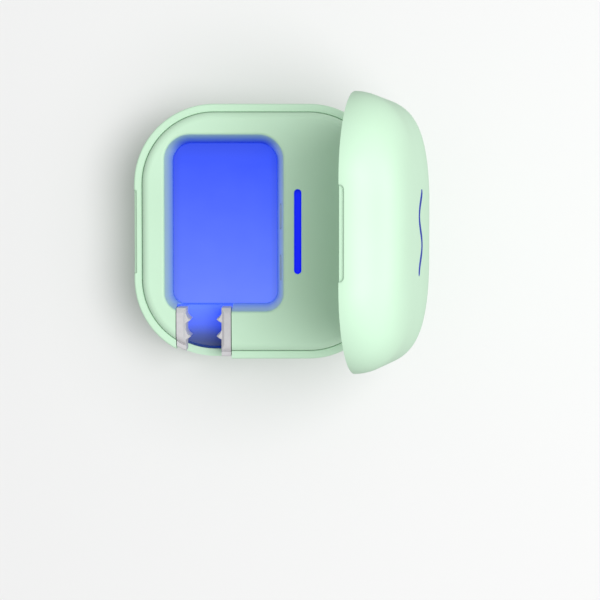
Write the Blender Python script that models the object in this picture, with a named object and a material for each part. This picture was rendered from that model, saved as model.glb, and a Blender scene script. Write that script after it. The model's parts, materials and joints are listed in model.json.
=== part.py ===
"""Wall-mounted toothbrush sanitizer: a rounded square pod with a lit chamber for the brush head,
a slot with two rubber pads for the brush's neck, and a domed lid hinged on the right.

Everything is modelled in the pod's own frame: x to the right, y up, and z off the wall, with the
wall face at z = 0. The pod_frame empty turns that frame upright, so that the world's +Z is up and
the pod faces -Y. The lid's pieces hang from the lid_hinge empty, which lies on the hinge's axis.
"""

import math

import bmesh
import bpy
from mathutils import Matrix

MM = 0.001

# Overall
pod_size = 70 * MM  # width and height of the pod
pod_corner = 22 * MM  # radius of the outline's corners
base_depth = 22 * MM  # wall face to the parting plane between base and lid
lid_depth = 13.85 * MM  # parting plane to the front of the dome
lid_open_deg = 76.5  # the lid as it stands open here
wall = 2.05 * MM  # side wall of the housing and of the lid

# Clearances
seam = 0.3 * MM  # visible joint between two shells, and the gap between touching pieces
close_fit = 0.2 * MM  # round a pin in its bore
bite = 0.5 * MM  # how far a joined solid runs into its neighbour
overrun = 1.0 * MM  # how far a cutter runs past the face that it cuts
small_corner = 0.3 * MM  # corners of lamps, magnets and plugs
plate_corner = 0.5 * MM  # corners of lenses and small boards

# Housing
stand_off = 0.8 * MM  # the pad stands this far out of the back
back_wall = 2.4 * MM
back_round_side = 6 * MM  # the back edge's rounding, measured along the back
back_round_depth = 9 * MM  # the same rounding, measured off the wall
rim_round = 0.5 * MM  # outer edge of both rims
nail_slot_length = 22.9 * MM
nail_slot_reach = 1.3 * MM  # each side of the parting plane
nail_slot_depth = 0.8 * MM

# Tray
plateau_height = 2.0 * MM  # the tray's face stands this far out of the base's rim
panel_thickness = 2.0 * MM
skirt_height = 4.5 * MM
skirt_thickness = 1.5 * MM
chamber_width = 32.4 * MM
chamber_side_margin = 8.5 * MM  # from the pod's left side
chamber_top_margin = 8.6 * MM
chamber_bottom_margin = 13.2 * MM
chamber_top_corner = 6.8 * MM
chamber_bottom_corner = 5.0 * MM
chamber_draft = 1.4 * MM  # the walls lean in by this much down to the floor
chamber_edge_round = 0.5 * MM
chamber_wall = 1.5 * MM
ledge_thickness = 1.2 * MM
ledge_width = 2.2 * MM
ledge_corner = 2.0 * MM

# Lamp under the chamber's floor
window_thickness = 1.2 * MM
lamp_space = 4.1 * MM  # housing floor to the underside of the tray's ledge
lamp_board_thickness = 1.0 * MM
lamp_board_margin = 1.0 * MM  # inside the ledge's opening
lamp_post_height = 0.9 * MM
lamp_post_radius = 1.4 * MM
lamp_post_inset = 2.5 * MM  # from the lamp board's sides
lamp_board_corner = 1.5 * MM
led_size = 3.5 * MM
led_height = 1.0 * MM
led_lens_share = 0.32  # the lens's radius, of the lamp's size
led_body_share = 0.7  # of the lamp's height
lamp_rows = 2  # two columns of this many lamps

# Lamps in the chamber's right wall
side_lens_length = 7.2 * MM  # the opening, along y
side_lens_height = 4.0 * MM  # the opening, off the wall
side_lens_thickness = 1.0 * MM
side_lens_recess = 0.25 * MM
side_lens_offsets = (1.9 * MM, -12.3 * MM)  # from the chamber's centre, along y
side_opening_corner = 0.8 * MM
side_led_height = 2.8 * MM  # off the wall
side_board_thickness = 0.8 * MM
side_board_margin = 1.0 * MM  # beyond the openings

# Neck slot and its grip pads
neck_offset = 10.6 * MM  # slot's middle from the chamber's left side
neck_slot_width = 15.3 * MM
neck_floor_step = 1.5 * MM  # slot floor above the window
trough_wall = 1.5 * MM
grip_thickness = 2.6 * MM  # of each pad
grip_inset = 0.7 * MM  # inside the pod's outline
grip_reach = 0.9 * MM  # into the chamber
grip_chamfer = 1.0 * MM  # at the pad's end in the chamber
rib_reach = 1.3 * MM
rib_base = 2.4 * MM
rib_upper_share = 0.65  # of the rib's base is above its tip
rib_below_top = 0.7 * MM
rib_above_floor = 0.2 * MM  # above the pad's foot
rib_offsets = (2.3 * MM, 6.9 * MM)  # rib tips below the chamber's bottom side

# Status light
bar_length = 22.8 * MM
bar_width = 1.6 * MM
bar_offset = 4.0 * MM  # from the chamber's right side
bar_flange = 0.8 * MM
bar_flange_thickness = 1.4 * MM
bar_depth = 3.9 * MM
bar_recess = 0.1 * MM  # below the tray's face

# Hinge
knuckle_radius = 1.9 * MM
pin_radius = 0.75 * MM
hinge_length = 25.0 * MM
lid_knuckle_length = 16.0 * MM
pin_inset = 0.2 * MM
stop_rib_reach = 0.9 * MM
stop_rib_thickness = 1.0 * MM
stop_rib_end_gap = 1.0 * MM  # inside the lid knuckle's ends
stop_rib_deg = 23.5  # above the pod's face when shut

# Lid
dome_side_power = 5.0  # how square the dome's profile is
dome_front_power = 1.92
lid_wall_front = 2.0 * MM
liner_level = 2.7 * MM  # liner's flange off the parting plane
liner_thickness = 1.2 * MM
liner_flange = 6.0 * MM
liner_dish = 6.3 * MM  # from the flange to the bottom of the dish
liner_gap = 1.1 * MM  # liner's flange inside the lid's wall
liner_dome_gap = 0.14 * MM  # the flange's corners to the dome, where that is less
wave_length = 20.2 * MM
wave_period = 15.0 * MM
wave_crest = 4.2 * MM  # where it swings furthest left, above the pod's middle
wave_swing = 2.2 * MM
wave_width = 1.7 * MM
wave_shift = 2.6 * MM  # from the pod's middle, along x
wave_gap = 0.15 * MM
wave_recess = 0.02 * MM  # below the dome's front
guide_thickness = 0.9 * MM
guide_gap = 0.3 * MM
guide_corner = 0.9 * MM
guide_leg_shrink = 0.05 * MM  # inside the status bar's outline
guide_leg_lift = 0.2 * MM  # of the leg's foot into the liner's slot

# Magnets, two pairs near the free edge
magnet_length = 10.0 * MM
magnet_width = 2.4 * MM
magnet_thickness = 2.0 * MM
magnet_spacing = 18.0 * MM
magnet_from_side = 5.7 * MM  # magnet's middle from the pod's left side
magnet_dome_gap = 0.2 * MM  # magnet to the dome's inside, where that is less

# Main board and what is on it
board_thickness = 1.2 * MM
board_below_panel = 3.8 * MM
board_side_gap = 1.0 * MM
board_corner = 12.0 * MM
board_low_corner = 14.0 * MM
board_edge_corner = 0.8 * MM  # at the lamps' side
board_top_margin = 9.5 * MM  # inside the skirt
board_bottom_margin = 5.3 * MM
board_screw_shift = 2.0 * MM  # to the right of the bay's middle
board_screw_insets = (3.2 * MM, 8.0 * MM)  # from the board's top and bottom
foot_height = 6.3 * MM
foot_length = 13.5 * MM
foot_margin = 0.6 * MM  # inside the skirt
foot_before_socket = 1.0 * MM
foot_corner = 0.6 * MM
usb_width = 8.9 * MM
usb_height = 3.2 * MM
usb_length = 7.3 * MM
usb_from_middle = 8.0 * MM
usb_clearance = 0.3 * MM
usb_wall = 0.3 * MM
usb_back = 1.0 * MM  # thickness behind the tongue
usb_setback = 0.8 * MM  # behind the outside of the wall
usb_tongue_width = 6.6 * MM
usb_tongue_thickness = 0.7 * MM
chip_height = 1.0 * MM
chip_corner = 0.2 * MM
status_led_size = 1.8 * MM
status_led_height = 0.8 * MM
connector_width = 6.0 * MM
connector_length = 3.5 * MM
connector_height = 2.6 * MM
connector_from_right = 7.0 * MM  # its middle, from the board's right edge
connector_from_bottom = 11.0 * MM  # its foot, from the board's bottom edge

# Battery
battery_headroom = 3.4 * MM
battery_floor_gap = 0.6 * MM
battery_side_gap = 2.6 * MM
battery_inner_gap = 1.0 * MM  # beside the lamps' board
battery_middle = 3.0 * MM  # above the pod's middle
battery_length = 36.0 * MM
battery_corner = 3.0 * MM
battery_edge = 1.5 * MM  # sloping edge of the pouch
lead_radius = 0.5 * MM
lead_spacing = 2.4 * MM
lead_rise = 1.3 * MM  # of the leads in their plug, below the board
# Points on a lead, first as distances past the battery's end and above its middle
lead_leaving = ((0.4 * MM, 0.0), (2.2 * MM, 0.0), (3.4 * MM, 1.6 * MM))
lead_bend = (0.6 * MM, 1.0 * MM)  # then past the turn and above the half-way level
lead_turn = (3.0 * MM, 2.6 * MM, 0.9 * MM)  # clear of the battery and of the plug, and below the plug
lead_arriving = (1.6 * MM, 0.4 * MM)  # and last as distances short of the plug

# Fasteners
boss_radius = 2.2 * MM
housing_boss_radius = 2.6 * MM
housing_boss_height = 2.6 * MM  # above the housing's floor
housing_boss_root = 1.2 * MM  # inside the back
screw_hole_radius = 1.15 * MM
screw_radius = 0.95 * MM
screw_head_radius = 1.6 * MM
screw_head_height = 1.2 * MM
screw_head_sink = 0.7 * MM  # below the back's face
counterbore_depth = 2.4 * MM
cross_width = 0.7 * MM  # arms of the cross recess
cross_depth = 0.6 * MM
cross_share = 0.6  # of the head's radius
screw_bite = 5.0 * MM
screw_inset = 6.2 * MM  # axis inside the housing's outline
screw_from_chamber = 12.0 * MM  # the upper left one, from the chamber's left side
board_screw_radius = 0.7 * MM
board_screw_head_radius = 1.4 * MM
board_screw_head_height = 0.8 * MM
board_screw_stop = 0.6 * MM  # below the panel
board_hole_stop = 0.2 * MM

# Seal and pad
seal_size = 1.1 * MM
seal_above_skirt = 1.2 * MM
pad_size = 46.0 * MM
pad_corner = 12.0 * MM
pad_thickness = 1.6 * MM

corner_steps = 8  # facets in each quarter of the big outlines
small_steps = 4  # the same for small pieces
round_steps = 24  # sides of pins, bores and bosses
wave_steps = 28  # along the wave
dome_rings = (0.999, 0.99, 0.965, 0.92, 0.85, 0.74, 0.58, 0.36)  # shares of the dome's half width

# Levels, off the wall
half = pod_size / 2
floor_level = stand_off + back_wall
rim_level = base_depth - seam / 2
panel_top = base_depth + plateau_height
panel_under = panel_top - panel_thickness
skirt_bottom = panel_under - skirt_height
ledge_bottom = floor_level + lamp_space
ledge_top = ledge_bottom + ledge_thickness
window_top = ledge_top + seam + window_thickness
slot_floor = window_top + neck_floor_step
board_top = panel_under - board_below_panel
board_bottom = board_top - board_thickness

# Places across the pod
chamber_left = -half + chamber_side_margin
chamber_right = chamber_left + chamber_width
chamber_top = half - chamber_top_margin
chamber_bottom = -half + chamber_bottom_margin
chamber_middle = (chamber_top + chamber_bottom) / 2
neck_middle = chamber_left + neck_offset
bar_middle = chamber_right + bar_offset
tray_half = half - wall - seam
skirt_half = tray_half - skirt_thickness
bay_left = chamber_right + chamber_wall
lid_inner_half = half - wall


def clear_scene():
    for obj in list(bpy.data.objects):
        bpy.data.objects.remove(obj)


def make_material(name, colour, roughness, metallic=0.0, glow=0.0):
    material = bpy.data.materials.new(name)
    material.use_nodes = True
    shader = material.node_tree.nodes["Principled BSDF"]
    shader.inputs["Base Color"].default_value = (*colour, 1.0)
    shader.inputs["Roughness"].default_value = roughness
    shader.inputs["Metallic"].default_value = metallic
    shader.inputs["Emission Color"].default_value = (*colour, 1.0)
    shader.inputs["Emission Strength"].default_value = glow
    material.diffuse_color = (*colour, 1.0)
    return material


def make_empty(name, parent=None, location=(0, 0, 0), rotation=(0, 0, 0)):
    empty = bpy.data.objects.new(name, None)
    empty.location = location
    empty.rotation_euler = rotation
    empty.parent = parent
    bpy.context.scene.collection.objects.link(empty)
    return empty


def rounded_outline(left, right, bottom, top, radii, steps=corner_steps):
    """Points round a rectangle with rounded corners, from the lower right against the clock."""
    corners = ((right, bottom, -1, 1), (right, top, -1, -1), (left, top, 1, -1), (left, bottom, 1, 1))
    points = []
    for turn, ((x, y, inward_x, inward_y), radius) in enumerate(zip(corners, radii)):
        centre_x = x + inward_x * radius
        centre_y = y + inward_y * radius
        for step in range(steps + 1):
            angle = math.radians(90 * (turn - 1 + step / steps))
            points.append((centre_x + radius * math.cos(angle), centre_y + radius * math.sin(angle)))
    return points


def pod_outline(half_width, steps=corner_steps):
    """The pod's own outline, offset in or out so that it is half_width from the middle."""
    radius = pod_corner - (half - half_width)
    return rounded_outline(-half_width, half_width, -half_width, half_width, [radius] * 4, steps)


def scaled_outline(half_width, full_width, steps=corner_steps):
    """The outline at full_width, shrunk to half_width with its corners in proportion."""
    share = half_width / full_width
    return [(x * share, y * share) for x, y in pod_outline(full_width, steps)]


def circle(radius, centre=(0, 0), sides=round_steps):
    turns = [2 * math.pi * side / sides for side in range(sides)]
    return [(centre[0] + radius * math.cos(t), centre[1] + radius * math.sin(t)) for t in turns]


def skin(name, loops, closed=False, turn=None, **where):
    """One solid through loops of points: capped at both ends, or closed on itself like a ring."""
    mesh = bpy.data.meshes.new(name)
    work = bmesh.new()
    rings = [[work.verts.new(point) for point in loop] for loop in loops]
    following = rings[1:] + rings[:1] if closed else rings[1:]
    for lower, upper in zip(rings, following):
        for index in range(len(lower)):
            after = (index + 1) % len(lower)
            work.faces.new((lower[index], lower[after], upper[after], upper[index]))
    if not closed:
        work.faces.new(list(reversed(rings[0])))
        work.faces.new(rings[-1])
    bmesh.ops.recalc_face_normals(work, faces=work.faces)
    if turn is not None:
        work.transform(turn)
    work.to_mesh(mesh)
    work.free()
    return add_object(name, mesh, **where)


def loft(name, sections, **where):
    """A solid through sections, each an outline and its level."""
    loops = [[(x, y, level) for x, y in outline] for outline, level in sections]
    return skin(name, loops, **where)


def add_object(name, mesh, material=None, parent=None, location=(0, 0, 0)):
    mesh.shade_smooth()
    mesh.set_sharp_from_angle(angle=math.radians(35))
    if material is not None:
        mesh.materials.append(material)
    obj = bpy.data.objects.new(name, mesh)
    obj.location = location
    obj.parent = parent
    bpy.context.scene.collection.objects.link(obj)
    return obj


def block(name, left, right, bottom, top, low, high, radius=0.0, steps=small_steps, **where):
    """A plate or block between two levels, with rounded upright edges where radius is given."""
    outline = [(left, bottom), (right, bottom), (right, top), (left, top)]
    if radius > 0:
        outline = rounded_outline(left, right, bottom, top, [radius] * 4, steps)
    return loft(name, [(outline, low), (outline, high)], **where)


def post(name, radius, centre, low, high, sides=round_steps, **where):
    outline = circle(radius, centre, sides)
    return loft(name, [(outline, low), (outline, high)], **where)


def upright_rod(name, radius, x, z, low, high, sides=round_steps, **where):
    """A round rod whose axis runs along y, as the hinge's does, through (x, z)."""
    along_y = Matrix.Rotation(math.radians(-90), 4, "X")
    outline = circle(radius, (x, -z), sides)
    return loft(name, [(outline, low), (outline, high)], turn=along_y, **where)


def as_helper(obj):
    obj.hide_render = True
    obj.display_type = "WIRE"
    return obj


def combine(target, tool, operation):
    modifier = target.modifiers.new(tool.name, "BOOLEAN")
    modifier.operation = operation
    modifier.object = as_helper(tool)
    modifier.solver = "EXACT"


def cut(target, *tools):
    for tool in tools:
        combine(target, tool, "DIFFERENCE")


def join(target, *tools):
    for tool in tools:
        combine(target, tool, "UNION")


def keep_inside(target, tool):
    combine(target, tool, "INTERSECT")


def quarter_round(from_deg, to_deg, steps):
    """Sines and cosines along part of a quarter circle, for rounded edges."""
    angles = [math.radians(from_deg + (to_deg - from_deg) * step / steps) for step in range(steps + 1)]
    return [(math.sin(angle), math.cos(angle)) for angle in angles]


def screw_places():
    """Axes of the four screws that hold the tray, each just inside the housing's outline."""
    corner_centre = half - pod_corner
    reach = (pod_corner - screw_inset) * math.sqrt(0.5)
    edge = half - screw_inset
    neck_right = neck_middle + neck_slot_width / 2
    return {
        "top_left": (chamber_left + screw_from_chamber, edge),
        "top_right": (corner_centre + reach, corner_centre + reach),
        "bottom_right": (corner_centre + reach, -corner_centre - reach),
        "bottom_left": (neck_right + trough_wall + boss_radius + seam, -edge),
    }


# Housing


def back_rounding(half_width, level, side, depth, steps=5):
    """Sections from the flat back, or floor, round to the upright wall."""
    turns = quarter_round(0, 90, steps)
    return [(pod_outline(half_width - side * (1 - s)), level + depth * (1 - c)) for s, c in turns]


def housing_sections():
    outside = back_rounding(half, stand_off, back_round_side, back_round_depth)
    rim = [
        (pod_outline(half - rim_round * (1 - c)), rim_level - rim_round * (1 - s))
        for s, c in quarter_round(0, 90, 3)
    ]
    inner_half = half - wall
    inside = back_rounding(
        inner_half, floor_level, back_round_side - wall, back_round_depth - back_wall
    )
    return outside + rim + [(pod_outline(inner_half), rim_level)] + inside[::-1]


def nail_slot_cutter(name, parent, location):
    """A shallow scoop across the parting plane on the free side, for a fingertip."""
    outline = rounded_outline(
        -nail_slot_length / 2,
        nail_slot_length / 2,
        -nail_slot_reach,
        nail_slot_reach,
        [nail_slot_reach * 0.95] * 4,
        small_steps,
    )
    side_on = Matrix(((0, 0, 1, 0), (1, 0, 0, 0), (0, 1, 0, 0), (0, 0, 0, 1)))
    taper = 1 + nail_slot_depth / nail_slot_length
    wider = [(x * taper, y * taper) for x, y in outline]
    sections = [(wider, -half - 2 * nail_slot_depth), (wider, -half), (outline, -half + nail_slot_depth)]
    return loft(name, sections, parent=parent, location=location, turn=side_on)


def usb_middle_level():
    return board_bottom - seam - usb_height / 2


def usb_tunnel(name, grow, parent):
    """The round-ended opening for the charging socket, grown by a clearance."""
    half_high = usb_height / 2 + grow
    outline = rounded_outline(
        usb_from_middle - usb_width / 2 - grow,
        usb_from_middle + usb_width / 2 + grow,
        -half_high,
        half_high,
        [half_high * 0.98] * 4,
        small_steps,
    )
    along_y = Matrix.Rotation(math.radians(90), 4, "X")
    level = usb_middle_level()
    tunnel = [(outline, half - 2 * wall), (outline, half + wall)]
    return loft(name, tunnel, parent=parent, location=(0, 0, level), turn=along_y)


def neck_slot_cutter(name, parent, grow=0.0):
    left = neck_middle - neck_slot_width / 2 - grow
    right = neck_middle + neck_slot_width / 2 + grow
    top = chamber_bottom + chamber_draft + seam
    return block(name, left, right, -2 * half, top, slot_floor, 2 * panel_top, parent=parent)


def make_housing(parent, material):
    housing = loft("back_housing", housing_sections(), material=material, parent=parent)
    boss_top = floor_level + housing_boss_height
    for place, (x, y) in screw_places().items():
        join(housing, post(f"housing_boss_{place}", housing_boss_radius, (x, y),
                           stand_off + housing_boss_root, boss_top, parent=parent))
        cut(housing, post(f"counterbore_{place}", screw_head_radius + close_fit, (x, y), -stand_off,
                          stand_off + counterbore_depth, parent=parent))
        cut(housing, post(f"clearance_hole_{place}", screw_radius + close_fit, (x, y), stand_off,
                          boss_top + overrun, parent=parent))
    for index, (x, y) in enumerate(lamp_post_places()):
        join(housing, post(f"lamp_post_{index}", lamp_post_radius, (x, y), floor_level - bite,
                           floor_level + lamp_post_height, 12, parent=parent))
    for end, low, high in knuckle_ends():
        join(housing, upright_rod(f"housing_knuckle_{end}", knuckle_radius, half, base_depth, low, high,
                                  parent=parent))
    cut(
        housing,
        upright_rod("lid_knuckle_relief", knuckle_radius + seam, half, base_depth,
                    -lid_knuckle_length / 2 - seam, lid_knuckle_length / 2 + seam, parent=parent),
        upright_rod("housing_pin_bore", pin_radius + close_fit, half, base_depth, -half, half, 16,
                    parent=parent),
        nail_slot_cutter("housing_nail_slot", parent, (0, 0, base_depth)),
        usb_tunnel("usb_opening", usb_clearance, parent),
        neck_slot_cutter("housing_neck_slot", parent),
        block("pad_pocket", *pad_limits(seam), -stand_off, pad_thickness + seam,
              pad_corner + seam, parent=parent),
    )
    return housing


def knuckle_ends():
    """The housing's two knuckles, either side of the lid's long one."""
    inner = lid_knuckle_length / 2 + seam
    outer = hinge_length / 2
    return (("upper", inner, outer), ("lower", -outer, -inner))


def pad_limits(grow):
    reach = pad_size / 2 + grow
    return -reach, reach, -reach, reach


# Tray


def chamber_outline(grow, steps=5):
    """The chamber's plan at its floor when grow is 0, larger when it is more."""
    radii = [chamber_bottom_corner, chamber_top_corner, chamber_top_corner, chamber_bottom_corner]
    inner = chamber_draft - grow
    return rounded_outline(
        chamber_left + inner,
        chamber_right - inner,
        chamber_bottom + inner,
        chamber_top - inner,
        [radius - inner for radius in radii],
        steps,
    )


def tray_sections():
    face = [
        (pod_outline(tray_half - plateau_height * (1 - s)), base_depth + plateau_height * c)
        for s, c in quarter_round(0, 90, 4)
    ]
    return face + [
        (pod_outline(tray_half), skirt_bottom),
        (pod_outline(skirt_half), skirt_bottom),
        (pod_outline(skirt_half), panel_under),
    ]


def chamber_block(parent):
    outside = chamber_draft + chamber_wall
    return loft(
        "chamber_block",
        [(chamber_outline(chamber_wall), ledge_bottom), (chamber_outline(outside), panel_under + bite)],
        parent=parent,
    )


def chamber_cavity(parent):
    edge = [
        (chamber_outline(chamber_draft + chamber_edge_round * (1 - c)),
         panel_top - chamber_edge_round * (1 - s))
        for s, c in quarter_round(0, 90, 2)
    ]
    above = (edge[-1][0], panel_top + plateau_height)
    return loft(
        "chamber_cavity",
        [(chamber_outline(0), ledge_top), (chamber_outline(0), window_top)] + edge + [above],
        parent=parent,
    )


def neck_trough(parent):
    """The box of the tray under and beside the neck slot, trimmed to the tray's outline."""
    trough = block(
        "neck_trough",
        neck_middle - neck_slot_width / 2 - trough_wall,
        neck_middle + neck_slot_width / 2 + trough_wall,
        -half,
        chamber_bottom,
        slot_floor - trough_wall,
        panel_under + bite,
        parent=parent,
    )
    outline = pod_outline(tray_half - skirt_thickness / 3)
    guide = loft("trough_trim", [(outline, 0), (outline, 2 * panel_top)], parent=parent)
    keep_inside(trough, guide)
    return trough


def seal_ring(name, inner_half, outer_half, low, high, **where):
    """A square-section ring that follows the pod's outline, as a groove cutter or as the seal."""
    outer = pod_outline(outer_half)
    inner = pod_outline(inner_half)
    sections = [(outer, low), (outer, high), (inner, high), (inner, low)]
    return loft(name, sections, closed=True, **where)


def bar_slot(name, grow, low, high, **where):
    reach = bar_width / 2 + grow
    long_reach = bar_length / 2 + grow
    outline = rounded_outline(
        bar_middle - reach, bar_middle + reach, -long_reach, long_reach, [reach * 0.98] * 4, small_steps
    )
    return loft(name, [(outline, low), (outline, high)], **where)


def side_wall_at(level):
    """Where the chamber's right wall is at a level between the window and the face."""
    return chamber_right - chamber_draft * (panel_top - level) / (panel_top - window_top)


def side_lamp_level():
    return (panel_top + window_top) / 2


def side_plate(name, length, height, middle, near, far, radius, **where):
    """A small plate standing across x, for a lens or a lamp board at the chamber's side."""
    outline = rounded_outline(-length / 2, length / 2, -height / 2, height / 2, [radius] * 4, small_steps)
    across = Matrix(((0, 0, 1, 0), (1, 0, 0, 0), (0, 1, 0, 0), (0, 0, 0, 1)))
    place = (0, middle, side_lamp_level())
    return loft(name, [(outline, near), (outline, far)], turn=across, location=place, **where)


def board_screw_places():
    """Two screws that hold the main board under the tray."""
    x = (bay_left + skirt_half) / 2 + board_screw_shift
    left, right, bottom, top = board_limits()
    return ((x, top - board_screw_insets[0]), (x, bottom + board_screw_insets[1]))


def make_tray(parent, material):
    tray = loft("inner_tray", tray_sections(), material=material, parent=parent)
    join(tray, chamber_block(parent), neck_trough(parent))
    for place, (x, y) in screw_places().items():
        join(tray, post(f"tray_boss_{place}", boss_radius, (x, y), tray_boss_foot(), panel_under + bite,
                        parent=parent))
        cut(tray, post(f"tray_screw_hole_{place}", screw_hole_radius, (x, y), floor_level,
                       screw_tip_level() + seam, 12, parent=parent))
    for index, (x, y) in enumerate(board_screw_places()):
        join(tray, post(f"board_boss_{index}", boss_radius, (x, y), board_top + seam,
                        panel_under + bite, parent=parent))
        cut(tray, post(f"board_screw_hole_{index}", board_screw_radius + close_fit, (x, y), board_top,
                       panel_under - board_hole_stop, 12, parent=parent))
    cut(
        tray,
        chamber_cavity(parent),
        block("ledge_opening", *ledge_opening_limits(), ledge_bottom - overrun, ledge_top + bite,
              ledge_corner, parent=parent),
        neck_slot_cutter("tray_neck_slot", parent),
        bar_slot("bar_opening", close_fit, panel_under - overrun, panel_top + overrun, parent=parent),
        seal_ring("seal_groove", tray_half - seal_size, tray_half + seam, seal_level() - seam,
                  seal_level() + seal_size + seam, parent=parent),
    )
    for index, offset in enumerate(side_lens_offsets):
        wall_x = side_wall_at(side_lamp_level())
        cut(tray, side_plate(f"side_lens_opening_{index}", side_lens_length, side_lens_height,
                             chamber_middle + offset, wall_x - chamber_wall, wall_x + 3 * chamber_wall,
                             side_opening_corner, parent=parent))
    return tray


def tray_boss_foot():
    return floor_level + housing_boss_height + seam


def ledge_opening_limits():
    inner = chamber_draft + ledge_width
    return (chamber_left + inner, chamber_right - inner, chamber_bottom + inner, chamber_top - inner)


def seal_level():
    return skirt_bottom + seal_above_skirt


def make_tray_seal(parent, material):
    seal = seal_ring("tray_seal", tray_half - seal_size + seam, tray_half + close_fit / 2, seal_level(),
                     seal_level() + seal_size, material=material, parent=parent)
    cut(seal, neck_slot_cutter("seal_break", parent, seam))
    return seal


# Lamp


def lamp_board_limits():
    left, right, bottom, top = ledge_opening_limits()
    return (left + lamp_board_margin, right - lamp_board_margin,
            bottom + lamp_board_margin, top - lamp_board_margin)


def lamp_post_places():
    left, right, bottom, top = lamp_board_limits()
    inset = lamp_post_inset
    return [(x, y) for x in (left + inset, right - inset) for y in (bottom + inset, top - inset)]


def lamp_board_levels():
    low = floor_level + lamp_post_height + seam
    return low, low + lamp_board_thickness


def make_lamp(parent, materials):
    outline = chamber_outline(-close_fit)
    loft("uv_window", [(outline, ledge_top + seam), (outline, window_top)], material=materials["window"],
         parent=parent)
    low, high = lamp_board_levels()
    block("uv_lamp_board", *lamp_board_limits(), low, high, lamp_board_corner,
          material=materials["board"], parent=parent)
    left, right, bottom, top = lamp_board_limits()
    for row in range(lamp_rows):
        y = bottom + (top - bottom) * (row + 0.5) / lamp_rows
        for side, x in (("left", left + (right - left) / 4), ("right", right - (right - left) / 4)):
            make_led(f"uv_led_{side}_{row + 1}", x, y, high + seam, materials["led"], parent)


def make_led(name, x, y, low, material, parent):
    reach = led_size / 2
    body_top = low + led_height * led_body_share
    lens = circle(led_size * led_lens_share, (x, y), 16)
    body = block(name, x - reach, x + reach, y - reach, y + reach, low, body_top,
                 small_corner, 2, material=material, parent=parent)
    join(body, loft(f"{name}_dome", [(lens, (low + body_top) / 2), (lens, low + led_height)], parent=parent))
    return body


def make_side_lamps(parent, materials):
    level_wall = side_wall_at(side_lamp_level())
    lens_near = level_wall + side_lens_recess
    lens_far = lens_near + side_lens_thickness
    led_near = lens_far + seam
    led_far = led_near + led_height
    for name, offset in zip(("upper", "lower"), side_lens_offsets):
        y = chamber_middle + offset
        side_plate(f"side_lens_{name}", side_lens_length - 2 * seam, side_lens_height - 2 * seam, y,
                   lens_near, lens_far, plate_corner, material=materials["lens"], parent=parent)
        side_plate(f"side_led_{name}", led_size, side_led_height, y, led_near, led_far, small_corner,
                   material=materials["led"], parent=parent)
    top = chamber_middle + side_lens_offsets[0] + side_lens_length / 2 + side_board_margin
    bottom = chamber_middle + side_lens_offsets[1] - side_lens_length / 2 - side_board_margin
    side_plate("side_lamp_board", top - bottom, side_lens_height + side_board_margin, (top + bottom) / 2,
               led_far + seam, led_far + seam + side_board_thickness, plate_corner,
               material=materials["board"], parent=parent)


# Neck grip pads


def grip_sections():
    """A solid a little inside the pod's outline, whose top follows the rim, seam and tray's face."""
    outer = half - grip_inset
    rim = [
        (pod_outline(outer - rim_round * (1 - c)), rim_level - rim_round * (1 - s))
        for s, c in quarter_round(0, 90, 2)
    ]
    face = [
        (pod_outline(tray_half - plateau_height * (1 - c)), base_depth + plateau_height * s)
        for s, c in quarter_round(0, 90, 4)
    ]
    return [(pod_outline(outer), 0), *rim, (pod_outline(tray_half + seam), rim_level), *face]


def make_grip_pad(side, parent, material):
    """One rubber pad on a side wall of the neck slot, with pointed ribs towards the brush."""
    inward = 1 if side == "left" else -1
    wall_x = neck_middle - inward * (neck_slot_width / 2 - close_fit)
    face_x = wall_x + inward * grip_thickness
    eased_x = face_x - inward * grip_chamfer / 3
    end = chamber_bottom + grip_reach
    low = slot_floor + seam
    shoulder = panel_top - grip_chamfer
    plain = [(wall_x, -half), (face_x, -half), (face_x, end), (wall_x, end)]
    eased = [(wall_x, -half), (eased_x, -half), (eased_x, end - grip_chamfer), (wall_x, end - grip_chamfer)]
    pad = loft(f"{side}_grip_pad", [(plain, low), (plain, shoulder), (eased, panel_top)],
               material=material, parent=parent)
    keep_inside(pad, loft(f"grip_trim_{side}", grip_sections(), parent=parent))
    for index, offset in enumerate(rib_offsets):
        tip = chamber_bottom - offset
        root = face_x - inward * bite
        rib_top = tip + rib_base * rib_upper_share
        rib_foot = rib_top - rib_base
        profile = [
            (root, rib_top),
            (face_x, rib_top),
            (face_x + inward * rib_reach, tip),
            (face_x, rib_foot),
            (root, rib_foot),
        ]
        levels = (low + rib_above_floor, panel_top - rib_below_top)
        join(pad, loft(f"grip_rib_{side}_{index}", [(profile, z) for z in levels], parent=parent))
    return pad


# Status light


def make_status_bar(parent, material):
    low = panel_top - bar_depth
    bar = bar_slot("status_bar", 0, low, panel_top - bar_recess, material=material, parent=parent)
    flange_top = panel_under - seam
    join(bar, bar_slot("bar_flange", bar_flange, flange_top - bar_flange_thickness, flange_top,
                       parent=parent))
    return bar


# Main board


def board_limits():
    left = side_lamp_far() + seam
    right = skirt_half - board_side_gap
    return left, right, -skirt_half + board_bottom_margin, skirt_half - board_top_margin


def side_lamp_far():
    """The far side of the side lamps' board."""
    lens_far = side_wall_at(side_lamp_level()) + side_lens_recess + side_lens_thickness
    return lens_far + seam + led_height + seam + side_board_thickness


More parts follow.
